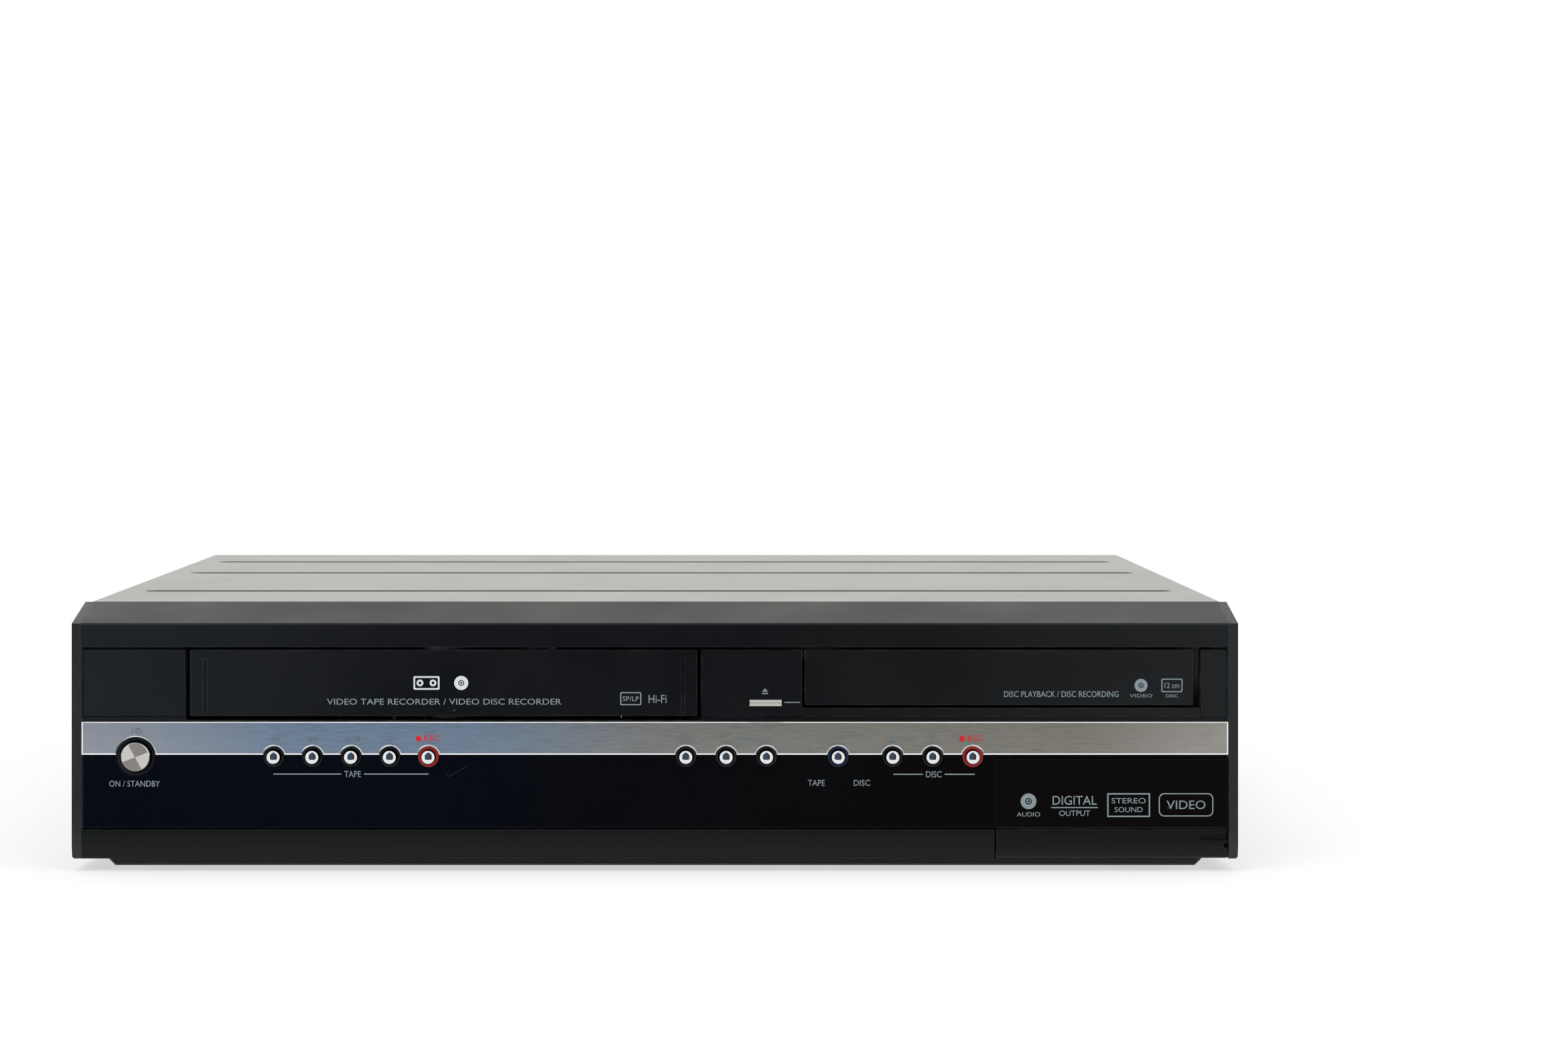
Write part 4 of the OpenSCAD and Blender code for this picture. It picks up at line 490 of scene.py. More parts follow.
def circle(x: float, z: float, radius: float, steps: int = 40) -> Outline:
    """Return the points of a circle in X and Z."""
    turns = [math.tau * k / steps for k in range(steps)]
    return [(x + radius * math.cos(turn), z + radius * math.sin(turn)) for turn in turns]


def rectangle(left: float, right: float, low: float, high: float, corner: float = 0.0) -> Outline:
    """Draw a rectangle, with round corners where a radius is given.

    Args:
        left: Its left edge.
        right: Its right edge.
        low: Its lower edge.
        high: Its upper edge.
        corner: The corners' radius, or 0.

    Returns:
        Its points in X and Z.
    """
    if not corner:
        return [(left, low), (right, low), (right, high), (left, high)]
    centres = rectangle(left + corner, right - corner, low + corner, high - corner)
    points = []
    for (x, z), start in zip(centres, (180, -90, 0, 90)):
        turns = [math.radians(start + 15 * k) for k in range(7)]
        points += [(x + corner * math.cos(turn), z + corner * math.sin(turn)) for turn in turns]
    return points


def triangle(x: float, z: float, width: float, height: float, way: str) -> Outline:
    """Draw a triangle.

    Args:
        x: Place of its middle across.
        z: Height of its middle.
        width: Its width.
        height: Its height.
        way: Where it points: left, right or up.

    Returns:
        Its points in X and Z.
    """
    w, h = width / 2, height / 2
    if way == "up":
        return [(x - w, z - h), (x + w, z - h), (x, z + h)]
    tip = w if way == "right" else -w
    return [(x - tip, z - h), (x + tip, z), (x - tip, z + h)]


def row(part: bmesh.types.BMesh, outline: Outline, y: float) -> list[bmesh.types.BMVert]:
    """Add the points of an outline in X and Z at a depth."""
    return [part.verts.new((x, y, z)) for x, z in outline]


def bridge(part: bmesh.types.BMesh, rows: Sequence[list[bmesh.types.BMVert]], closed: bool = False) -> None:
    """Join each row of points to the next with faces.

    Args:
        part: The mesh that has the points.
        rows: Closed loops of as many points. A row of one point is a pole.
        closed: Whether the last row joins the first.
    """
    for first, second in list(zip(rows, rows[1:])) + ([(rows[-1], rows[0])] if closed else []):
        for k in range(max(len(first), len(second))):
            corners = [first[k % len(first)], first[(k + 1) % len(first)]]
            corners += [second[(k + 1) % len(second)], second[k % len(second)]]
            part.faces.new(list(dict.fromkeys(corners)))


class Solid:
    """A mesh in progress, in millimetres in the frame's axes, that becomes one piece of the object."""

    def __init__(self) -> None:
        """Start with an empty mesh."""
        self.mesh = bmesh.new()

    def add(self, part: bmesh.types.BMesh, finish: int = 0) -> "Solid":
        """Join a closed part to the mesh.

        Args:
            part: The part, which is freed.
            finish: The number of its finish.

        Returns:
            This solid.
        """
        bmesh.ops.recalc_face_normals(part, faces=part.faces)
        for face in part.faces:
            face.material_index = finish
        passed = bpy.data.meshes.new("passed")
        part.to_mesh(passed)
        part.free()
        self.mesh.from_mesh(passed)
        bpy.data.meshes.remove(passed)
        return self

    def lathe(
        self, profile: Outline, at: Triple, steps: int, finish: int = 0, closed: bool = False
    ) -> "Solid":
        """Turn a profile about a line along Y through a point.

        Args:
            profile: Pairs of radius and distance along the line. A radius of 0 makes a pole.
            at: The point.
            steps: Number of flats round the line.
            finish: The number of its finish.
            closed: Whether the profile's ends join, as on a ring.

        Returns:
            This solid.
        """
        part = bmesh.new()
        rows = []
        for radius, along in profile:
            flats = circle(0.0, 0.0, radius, steps if radius else 1)
            rows.append([part.verts.new(Vector(at) + Vector((x, along, z))) for x, z in flats])
        bridge(part, rows, closed)
        return self.add(part, finish)

    def prism(self, outline: Outline, y0: float, y1: float) -> "Solid":
        """Add a flat plate.

        Args:
            outline: Its outline in X and Z.
            y0: Depth of one face.
            y1: Depth of the other.

        Returns:
            This solid.
        """
        part = bmesh.new()
        grown = bmesh.ops.extrude_face_region(part, geom=[part.faces.new(row(part, outline, y0))])
        for item in grown["geom"]:
            if isinstance(item, bmesh.types.BMVert):
                item.co.y = y1
        return self.add(part)

    def band(self, outer: Outline, inner: Outline, y0: float, y1: float) -> "Solid":
        """Add a flat plate with a hole, such as a ring or a frame.

        Args:
            outer: Its outline in X and Z.
            inner: The hole's outline, of as many points.
            y0: Depth of one face.
            y1: Depth of the other.

        Returns:
            This solid.
        """
        part = bmesh.new()
        loops = ((outer, y0), (inner, y0), (inner, y1), (outer, y1))
        bridge(part, [row(part, loop, y) for loop, y in loops], closed=True)
        return self.add(part)

    def words(self, text: str, box: Box, y0: float, y1: float) -> "Solid":
        """Set plain words into a box.

        Args:
            text: The words.
            box: Left, right, bottom and top of the capitals.
            y0: Depth of the ink's back.
            y1: Depth of its face.

        Returns:
            This solid.
        """
        curve = bpy.data.curves.new("words", "FONT")
        curve.body, curve.extrude, curve.resolution_u = text, 0.5, 3
        holder = link_object("words", curve)
        flat = final_mesh(holder)
        bpy.data.objects.remove(holder)
        bpy.data.curves.remove(curve)
        part = bmesh.new()
        part.from_mesh(flat)
        bpy.data.meshes.remove(flat)
        bmesh.ops.remove_doubles(part, verts=part.verts, dist=1e-5)
        left, right = min(v.co.x for v in part.verts), max(v.co.x for v in part.verts)
        low, high = min(v.co.y for v in part.verts), max(v.co.y for v in part.verts)
        for vert in part.verts:
            x, up, out = vert.co
            vert.co.x = box[0] + (x - left) / (right - left) * (box[1] - box[0])
            vert.co.z = box[2] + (up - low) / (high - low) * (box[3] - box[2])
            vert.co.y = y1 if out > 0 else y0
        return self.add(part)

    def place(
        self, name: str, body: str, slot: str, finishes: Sequence[Finish], replaces: Iterable[str] = (),
        smooth: float = 35.0,
    ) -> bpy.types.Object:
        """Make the mesh a piece of the object.

        Args:
            name: The piece's name.
            body: The CAD body that it rides on.
            slot: The record's material slot that it stands for; not used.
            finishes: Its finishes, in the order of their numbers.
            replaces: The CAD nodes that it stands in for.
            smooth: The angle above which an edge stays sharp.

        Returns:
            The piece.
        """
        data = bpy.data.meshes.new(name)
        self.mesh.transform(Matrix.Scale(MM, 4))
        self.mesh.to_mesh(data)
        self.mesh.free()
        data.shade_smooth()
        data.set_sharp_from_angle(angle=math.radians(smooth))
        for finish in finishes:
            data.materials.append(finish.material())
        piece = link_object(name, data)
        weighted = piece.modifiers.new("flat_faces_stay_flat", "WEIGHTED_NORMAL")
        weighted.keep_sharp, weighted.weight = True, 100
        piece.data = final_mesh(piece)
        piece.modifiers.clear()
        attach(piece, body)
        if replaces:
            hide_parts(*replaces)
        LOG.info("%s rides on %s: %d faces", name, body, len(piece.data.polygons))
        return piece


@dataclass
class CadNode:
    """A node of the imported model, with its box in millimetres."""

    name: str
    low: Vector = field(init=False)
    high: Vector = field(init=False)
    middle: Vector = field(init=False)

    def __post_init__(self) -> None:
        """Measure the node at rest."""
        low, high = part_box(self.name)
        self.low, self.high = low / MM, high / MM
        self.middle = (self.low + self.high) / 2

    @property
    def body(self) -> str:
        """Name of the body that carries the node."""
        return next(b for b, nodes in frame["record"]["behaviour"]["bodies"].items() if self.name in nodes)

    @property
    def slot(self) -> str:
        """Name of the node's material slot in the record."""
        return next(s["material_slot"] for s in frame["record"]["subparts"] if s["node"] == self.name)

    def dress(
        self,
        edge: float,
        finishes: Sequence[Finish] = (),
        pick: Callable[[bmesh.types.BMFace], int] = lambda face: 0,
        cuts: Sequence[tuple[int, float]] = (),
        smooth: float = 35.0,
        reshape: Callable[[Vector], None] = lambda point: None,
    ) -> bpy.types.Object:
        """Replace the node by a merged copy with rounded edges and its finishes.

        Args:
            edge: Radius of the rounding.
            finishes: The finishes, or none for the slot's own.
            pick: Chooses the number of the finish of a face.
            cuts: Numbers of axes and places on them at which flat faces are divided, for their finishes.
            smooth: The angle above which an edge stays sharp.
            reshape: Moves a corner, in millimetres, before the edges are rounded.

        Returns:
            The piece.
        """
        merge_mm, flat_angle, rounded_angle = 1e-3, math.radians(0.4), math.radians(28)
        solid = Solid()
        part = solid.mesh
        part.from_mesh(frame["nodes"][self.name].data)
        part.transform(Matrix.Scale(1 / MM, 4))
        bmesh.ops.remove_doubles(part, verts=part.verts, dist=merge_mm)
        bmesh.ops.dissolve_limit(part, angle_limit=flat_angle, verts=part.verts, edges=part.edges)
        for vert in part.verts:
            reshape(vert.co)
        edges = [e for e in part.edges if e.is_manifold and e.calc_face_angle() > rounded_angle]
        bmesh.ops.bevel(part, geom=edges, offset=edge, segments=2, profile=0.5, affect="EDGES")
        for axis, place in cuts:
            geometry = part.verts[:] + part.edges[:] + part.faces[:]
            normal = Vector([float(k == axis) for k in range(3)])
            bmesh.ops.bisect_plane(part, geom=geometry, plane_co=normal * place, plane_no=normal)
        for face in part.faces:
            face.material_index = pick(face)
        finishes = finishes or [SLOT_FINISH[self.slot]]
        return solid.place("dressed_" + self.name, self.body, self.slot, finishes, [self.name], smooth)


class RepeatedPart:
    """A geometry-node tree that sets one part on a row-and-column grid of points."""

    def __init__(self, name: str) -> None:
        """Build the tree.

        Args:
            name: The tree's name.
        """
        tree = bpy.data.node_groups.new(name, "GeometryNodeTree")
        for label, kind in (
            ("Geometry", "Geometry"), ("Part", "Object"), ("Columns", "Int"), ("Rows", "Int"),
            ("Start", "Vector"), ("Column Step", "Vector"), ("Row Step", "Vector"), ("Material", "Material"),
        ):
            tree.interface.new_socket(label, in_out="INPUT", socket_type="NodeSocket" + kind)
        tree.interface.new_socket("Geometry", in_out="OUTPUT", socket_type="NodeSocketGeometry")
        given = tree.nodes.new("NodeGroupInput").outputs
        line = {"Count": given["Columns"], "Offset": given["Column Step"], "Start Location": given["Start"]}
        columns = add_node(tree, "GeometryNodeMeshLine", line)
        rows = add_node(tree, "GeometryNodeMeshLine", {"Count": given["Rows"], "Offset": given["Row Step"]})
        part = add_node(tree, "GeometryNodeObjectInfo", {"Object": given["Part"]}).outputs["Geometry"]
        solid = columns
        for instance in (rows, part):
            parts = {"Points": solid, "Instance": instance}
            placed = add_node(tree, "GeometryNodeInstanceOnPoints", parts)
            solid = add_node(tree, "GeometryNodeRealizeInstances", {0: placed})
        material = {"Geometry": solid, "Material": given["Material"]}
        add_node(tree, "NodeGroupOutput", {0: add_node(tree, "GeometryNodeSetMaterial", material)})
        self.tree = tree

    def fill(
        self,
        solid: Solid,
        part: Solid,
        start: Triple,
        finish: Finish,
        number: int = 0,
        columns: tuple[int, Triple] = (1, (1.0, 0.0, 0.0)),
        rows: tuple[int, Triple] = (1, (0.0, 0.0, 1.0)),
    ) -> None:
        """Run the tree and join its mesh to a solid.

        Args:
            solid: The solid that takes the parts.
            part: The part, drawn about the origin. It is used up.
            start: Place of the first part.
            finish: The finish.
            number: Its number in the solid.
            columns: How many, and the step from one to the next.
            rows: The same across them.
        """
        shape = bpy.data.meshes.new("part")
        part.mesh.to_mesh(shape)
        part.mesh.free()
        model, holder = link_object("part", shape), link_object("holder", bpy.data.meshes.new("holder"))
        modifier = holder.modifiers.new("repeat", "NODES")
        modifier.node_group = self.tree
        values = {
            "Part": model, "Columns": columns[0], "Column Step": columns[1], "Rows": rows[0],
            "Row Step": rows[1], "Start": start, "Material": finish.material(),
        }
        for item in self.tree.interface.items_tree:
            if item.in_out == "INPUT" and item.name in values:
                modifier[item.identifier] = values[item.name]
        made = final_mesh(holder)
        holder.modifiers.clear()
        whole = bmesh.new()
        whole.from_mesh(made)
        solid.add(whole, number)
        for thing in (model, holder):
            bpy.data.objects.remove(thing)
        bpy.data.meshes.remove(made)


@dataclass
class FrontPanel:
    """The moulded frame, the doors in it, the gloss window and the aluminium strip."""

    edge: float = 0.18
    door_edge: float = 0.3
    strip_edge: float = 0.05
    past: float = 0.1
    lip_depth: float = 6.0
    cut_width: float = 0.5
    cut_depth_share: float = 0.45
    notch_depth_share: float = 0.42
    top_cut_share: float = 0.64
    top_zone: float = 2.0
    notch_in: float = 0.45
    notch_wider: float = 0.1
    face_reach: float = 0.02
    key_reach: float = 5.0
    power_reach: float = 8.4

    def build(self) -> None:
        """Dress every panel of the front."""
        self._frame()
        for name in ("cassette_door", "tray_front"):
            CadNode(name).dress(self.door_edge)
        CadNode("display_window").dress(self.edge)
        self._flap()
        self._strip()

    def _frame(self) -> None:
        """Give the moulded frame its satin face, its ends' narrow strips and the lip under the window, which
        has painted shade.
        """
        node = CadNode("front_bezel")
        side, lip = CadNode("trim_strip").high.x + self.past, CadNode("display_window").low.z + self.past

        def choose(face: bmesh.types.BMFace) -> int:
            """Pick the strip's finish, the lip's painted shade or the broad face's finish.

            Args:
                face: A face of the frame.

            Returns:
                The number of its finish.
            """
            centre = face.calc_center_median()
            if abs(centre.x) > side:
                return 1
            return 2 if centre.z < lip and centre.y < node.low.y + self.lip_depth else 0

        cuts = [(0, -side), (0, side), (2, lip)]
        node.dress(self.edge, [FRONT_PLASTIC, STRIP_PLASTIC, LIP_PLASTIC], choose, cuts)

    def _flap(self) -> None:
        """Give the flap its gloss face above the groove, and a satin one with painted shade below it."""
        groove = CadNode("display_window").low.z - self.past

        def choose(face: bmesh.types.BMFace) -> int:
            """Pick satin with painted shade below the groove and gloss above it."""
            return 0 if face.calc_center_median().z > groove else 1

        CadNode("av_door").dress(self.edge, [FLAP_GLOSS, LIP_PLASTIC], choose, [(2, groove)])

    def _strip(self) -> None:
        """Brush the strip's face and leave its cut edge bright."""
        node = CadNode("trim_strip")
        face, near, flat = node.low.y, self.cut_width + self.face_reach, 0.98
        rings = [(CadNode(n).middle, self.key_reach) for n in frame["nodes"] if n.endswith("_key")]
        rings.append((CadNode("power_button").middle, self.power_reach))

        def reshape(point: Vector) -> None:
            """Bring the notches to their rings, and cut the edge shallow below and narrow at the top.

            Args:
                point: A corner of the strip, which is moved.
            """
            front = point.y < face + self.face_reach
            share = self.cut_depth_share
            for middle, reach in rings:
                across, up = point.x - middle.x, point.z - middle.z
                radius = math.hypot(across, up)
                if radius >= reach:
                    continue
                smaller = radius - self.notch_in + (self.notch_wider if front else 0.0)
                if point.z < node.low.z + near:
                    point.x = middle.x + math.copysign(math.sqrt(smaller**2 - up**2), across)
                else:
                    point.x = middle.x + across * smaller / radius
                    point.z = middle.z + up * smaller / radius
                    share = self.notch_depth_share
            if point.z < node.high.z - self.top_zone and point.y < face + near:
                point.y = face + (point.y - face) * share
            elif front:
                point.z = node.high.z - self.cut_width * self.top_cut_share
            elif point.y < face + near:
                point.y = face + self.cut_width * self.top_cut_share

        def choose(part: bmesh.types.BMFace) -> int:
            """Pick the brushed finish for the face and the back, and bright metal for the rim."""
            return 0 if abs(part.normal.y) > flat else 1

        finishes = [TRIM_BRUSHED, CUT_EDGE]
        node.dress(self.strip_edge, finishes, choose, smooth=15.0, reshape=reshape)


@dataclass
class RoundControls:
    """The keys, their rings, the power button and the eject bar."""

    key_radii: Triple = (2.375, 3.35, 1.5)
    key_flange_depth: float = 8.6
    key_dome: float = 0.8
    key_shoulder: Span = (0.02, 0.08)
    key_rings: int = 12
    key_steps: int = 56
    power_radii: Triple = (5.45, 6.6, 2.5)
    power_flange_depth: float = 7.6
    power_cut: float = 0.42
    power_corner: Span = (0.08, 0.25)
    power_disc: Span = (0.2, 0.3)
    power_steps: int = 72
    flange_thick: float = 1.0
    ring_edge: float = 0.12
    bar_edge: float = 0.15

    def build(self) -> None:
        """Turn every key, ring and button."""
        for name in sorted(n for n in frame["nodes"] if n.endswith("_key")):
            self._key(CadNode(name))
        for name in ("button_collars", "record_collars", "dubbing_collar"):
            CadNode(name).dress(self.ring_edge)
        self._power(CadNode("power_button"))
        CadNode("eject_button").dress(self.bar_edge, [BAR_ALUMINIUM])

    def _shank(self, node: CadNode, radii: Triple, depth: float) -> list[Span]:
        """Return the profile behind a button's face.

        Args:
            node: The button.
            radii: Radius of the barrel, of the flange and of the stem.
            depth: Depth of the flange behind the face.

        Returns:
            Pairs of radius and place along Y.
        """
        barrel, flange, stem = radii
        front, end = node.low.y + depth, node.high.y
        back = front + self.flange_thick
        return [(barrel, front), (flange, front), (flange, back), (stem, back), (stem, end), (0.0, end)]

    def _key(self, node: CadNode) -> None:
        """Turn one chromium-plated key: a dome with a small flat shoulder, a flange and a stem.

        Args:
            node: The key.
        """
        radius, front = self.key_radii[0], node.low.y
        ball = (radius**2 + self.key_dome**2) / (2 * self.key_dome)
        radii = [radius * k / self.key_rings for k in range(self.key_rings + 1)]
        profile = [(r, front + ball - math.sqrt(ball**2 - r**2)) for r in radii]
        wider, deeper = self.key_shoulder
        profile.append((radius + wider, front + self.key_dome + deeper))
        profile += self._shank(node, self.key_radii, self.key_flange_depth)
        solid = Solid().lathe(profile, (node.middle.x, 0.0, node.middle.z), self.key_steps)
        solid.place("turned_" + node.name, node.body, node.slot, [KEY_CHROME], [node.name])

    def _power(self, node: CadNode) -> None:
        """Turn the power button, with a spun face and a bright cut rim.

        Args:
            node: The button.
        """
        at = (node.middle.x, 0.0, node.middle.z)
        front, rim, cut = node.low.y, self.power_radii[0], self.power_cut
        # Face turned in a lathe and lacquered: pale rings of light, with two brighter sectors of painted
        # highlight
        face = metal(
            "spun_aluminium", "#b9b5ae", "#a9a59e", 0.7, metallic=0.72, grain=Grain.SPUN, grain_mm=0.16,
            relief_mm=0.004, streak=0.8, stretch=0.9, sectors="#fffdf6", centre=at,
        )
        shell, disc_back = (front + depth for depth in self.power_disc)
        disc = [(0.0, front), (rim - cut, front), (rim - cut, disc_back), (0.0, disc_back)]
        inwards, deeper = self.power_corner
        profile = [(0.0, shell), (rim - cut, front)]
        profile += [(rim - inwards, front + cut), (rim, front + cut + deeper)]
        profile += self._shank(node, self.power_radii, self.power_flange_depth)
        solid = Solid().lathe(disc, at, self.power_steps).lathe(profile, at, self.power_steps, 1)
        solid.place("turned_power_button", node.body, node.slot, [face, CUT_EDGE], [node.name])


@dataclass
class Cabinet:
    """The cover, the base pan, the rear panel, the feet and the screws."""

    sheet_edge: float = 0.12
    foot_edge: float = 0.3
    fold_edge: float = 0.25
    bead_in: float = 5.2
    bead_reach: Span = (198.0, 209.5)
    bead_zone: float = 3.0
    lip_depth: float = 30.0
    pan_sheet: float = 0.7
    flange_half: float = 199.2
    flange_clear: float = 0.1
    flange_rise: float = 1.9
    flange_y: Span = (0.1, 0.8)
    head_radius: float = 3.0
    head_height: float = 1.3
    head_profile: tuple[Span, ...] = ((1.0, 0.0), (1.0, 0.45), (0.9, 0.8), (0.7, 1.0))
    thread: Span = (1.45, 6.0)
    screw_steps: int = 24
    cross: Triple = (0.34, 1.55, 0.8)
    side_screw_z: float = 12.0
    last_screw_in: float = 50.0
    rear_screws_x: Triple = (-150.0, -10.0, 140.0)
    rear_screw_z: float = 6.0

    def build(self) -> None:
        """Dress the sheet metal."""
        self._cover()
        CadNode("rear_panel").dress(self.sheet_edge)
        self._pan()
        CadNode("feet").dress(self.foot_edge)
        self._screws()

    def _cover(self) -> None:
        """Round the cover's folds, and draw the ends of its beads in."""
        node = CadNode("top_cover")

        def reshape(point: Vector) -> None:
            """Move the end of a bead towards the middle.

            Args:
                point: A corner of the cover, which is moved.
            """
            inner, outer = self.bead_reach
            if inner < abs(point.x) < outer and point.z > node.high.z - self.bead_zone:
                point.x -= math.copysign(self.bead_in, point.x)

        node.dress(self.fold_edge, smooth=16.0, reshape=reshape)

    def _pan(self) -> None:
        """Give the pan's front lip the cover's black finish and fold its edge up behind the frame; the rest
        is bare sheet.
        """
        node = CadNode("chassis_pan")

        def choose(face: bmesh.types.BMFace) -> int:
            """Pick the cover's black finish for the lip."""
            return 1 if face.calc_center_median().y < node.low.y + self.lip_depth else 0

        node.dress(self.sheet_edge, [ZINC_SHEET, COVER_PAINT], choose)
        half, top = self.flange_half, self.flange_half + self.flange_rise - self.flange_clear
        floor = node.low.z + self.pan_sheet
        rise = floor + self.flange_rise
        outline = [(-half, floor), (half, floor), (top, rise), (-top, rise)]
        flange = Solid().prism(outline, *(node.low.y + y for y in self.flange_y))
        flange.place("pan_front_flange", node.body, node.slot, [FRONT_PLASTIC])

    def _screw(self, turn: float) -> Solid:
        """Draw a pan-head screw about the origin, with a cross recess in its head.

        Args:
            turn: Degrees about Z from a head that looks towards -Y.

        Returns:
            The screw, in millimetres.
        """
        half, reach, deep = self.cross
        cross = [(reach, half), (half, half), (half, reach)]
        turns = ((1, 0), (0, 1), (-1, 0), (0, -1))
        cross = [(x * c - z * s, x * s + z * c) for c, s in turns for x, z in cross]
        radius, length = self.thread
        profile = [(radius, length), (radius, 0.0)]
        profile += [(self.head_radius * out, -self.head_height * up) for out, up in self.head_profile]
        part = bmesh.new()
        rows = [row(part, circle(0, 0, r, self.screw_steps), y) for r, y in profile]
        walls = [row(part, cross, y - self.head_height) for y in (0.0, deep)]
        part.faces.new(rows[0])
        bridge(part, rows)
        bridge(part, walls)
        part.faces.new(walls[1])
        bmesh.ops.triangle_fill(part, use_beauty=True, edges=[e for e in part.edges if e.is_boundary])
        screw = Solid().add(part)
        screw.mesh.transform(Matrix.Rotation(math.radians(turn), 4, "Z"))
        return screw

    def _screws(self) -> None:
        """Set the screws of the sides and the rear."""
        node = CadNode("cover_screws")
        repeat = RepeatedPart("screws")
        whole = Solid()
        side, rear = node.high.x - self.head_height, node.high.y - self.head_height
        first, last = node.low.y + self.head_radius, CadNode("rear_panel").high.y - self.last_screw_in
        step = (0.0, last - first, 0.0)
        sets = [(90 * sign, (sign * side, first, self.side_screw_z), 2) for sign in (-1, 1)]
        sets += [(180, (x, rear, self.rear_screw_z), 1) for x in self.rear_screws_x]
        for turn, start, count in sets:
            repeat.fill(whole, self._screw(turn), start, BLACK_SCREW, columns=(count, step))
        whole.place("cross_recess_screws", node.body, node.slot, [BLACK_SCREW], [node.name])


@dataclass
class Sockets:
    """Coloured rings on the sockets, the contacts in the long ones, and the words beside them."""

    pitch: float = 14.0
    jack_radius: float = 4.2
    ring_radius: float = 5.7
    ring_height: float = 1.6
    ring_steps: int = 28
    ring_bevel: float = 0.3
    ring_wall_share: float = 0.8
    rear_rows: tuple[tuple[float, Finish], ...] = ((20.0, JACK_RED), (34.0, JACK_WHITE), (48.0, JACK_YELLOW))
    rear_inset: float = 6.5
    front_finishes: tuple[Finish, ...] = (JACK_YELLOW, JACK_WHITE, JACK_RED)
    front_start: Triple = (144.5, -2.0, 25.4)
    contact_half: Triple = (0.7, 3.5, 0.16)
    contact_pitch: float = 3.8
    contact_count: int = 10
    contact_inset: float = 0.6
    long_inset: float = 23.5
    long_z: float = 20.0
    tongue_half: float = 2.8
    word_height: float = 2.0
    word_depths: Span = (-0.02, 0.04)
    rear_words: tuple[tuple[str, float, float, float], ...] = (
        ("VIDEO", -136.0, -146.0, 55.6),
        ("AUDIO", -157.0, -167.0, 55.6),
        ("IN", -126.9, -130.2, 59.4),
        ("OUT", -140.2, -146.8, 59.4),
        ("IN", -154.9, -158.2, 59.4),
        ("OUT", -168.2, -174.8, 59.4),
        ("AERIAL", -184.6, -198.4, 60.5),
        ("IN", -181.6, -184.2, 43.4),
        ("AV 1", -41.0, -48.0, 29.6),
        ("AV 2", -92.0, -99.0, 29.6),
        ("MAINS", 186.0, 175.0, 31.6),
    )
    repeat: RepeatedPart = field(init=False)
    rear: float = field(init=False)

    def build(self) -> None:
        """Dress the rear and the front sockets."""
        self.repeat = RepeatedPart("socket_parts")
        self.rear = CadNode("rear_panel").high.y
        self._rear_jacks()
        self._front_jacks()
        self._contacts()
        self._words()

    def _ring(self, way: float) -> Solid:
        """Turn one ring about the origin.

        Args:
            way: 1 where it stands out along Y, or -1 the other way.

        Returns:
            The ring.
        """
        inner, outer, high = self.jack_radius, self.ring_radius, self.ring_height * way
        profile = [(inner, 0.0), (inner, high), (outer - self.ring_bevel, high)]
        profile += [(outer, high * self.ring_wall_share), (outer, 0.0)]
        return Solid().lathe(profile, (0.0, 0.0, 0.0), self.ring_steps, closed=True)

    def _rear_jacks(self) -> None:
        """Set a ring round each rear jack, one colour to a row."""
        left = CadNode("phono_jacks").low.x + self.rear_inset
        columns = (4, (self.pitch, 0.0, 0.0))
        whole = Solid()
        for number, (height, finish) in enumerate(self.rear_rows):
            self.repeat.fill(whole, self._ring(1.0), (left, self.rear, height), finish, number, columns)
        whole.place("jack_rings", "cabinet", "jack_metal", [finish for _, finish in self.rear_rows])

    def _front_jacks(self) -> None:
        """Set a coloured ring round each jack behind the flap."""
        x, y, z = self.front_start
        face = CadNode("front_sockets").high.y + y
        whole = Solid()
        for number, finish in enumerate(self.front_finishes):
            self.repeat.fill(whole, self._ring(-1.0), (x + number * self.pitch, face, z), finish, number)
        whole.place("front_jack_rings", "cabinet", "jack_metal", self.front_finishes)

    def _contacts(self) -> None:
        """Set the two rows of flat contacts on the tongue of each long socket."""
        node = CadNode("scart_sockets")
        across, along, up = self.contact_half
        front = self.rear - self.contact_inset
        ends = front - 2 * along, front
        first = self.contact_pitch * (self.contact_count - 1) / 2
        columns = (self.contact_count, (self.contact_pitch, 0.0, 0.0))
        rows = (2, (0.0, 0.0, 2 * self.tongue_half))
        whole = Solid()
        for middle in (node.low.x + self.long_inset, node.high.x - self.long_inset):
            contact = Solid().prism(rectangle(-across, across, -up, up), *ends)
            start = (middle - first, 0.0, self.long_z - self.tongue_half)
            self.repeat.fill(whole, contact, start, GOLD_PLATE, 0, columns, rows)
        whole.place("long_socket_contacts", "cabinet", "jack_metal", [GOLD_PLATE])

    def _words(self) -> None:
        """Print plain words on the rear panel, which read from behind."""
        grey = Solid()
        depths = [self.rear + depth for depth in self.word_depths]
        for text, left, right, low in self.rear_words:
            grey.words(text, (left, right, low, low + self.word_height), *depths)
        grey.place("rear_words", "cabinet", "cover_paint", [INK_GREY])


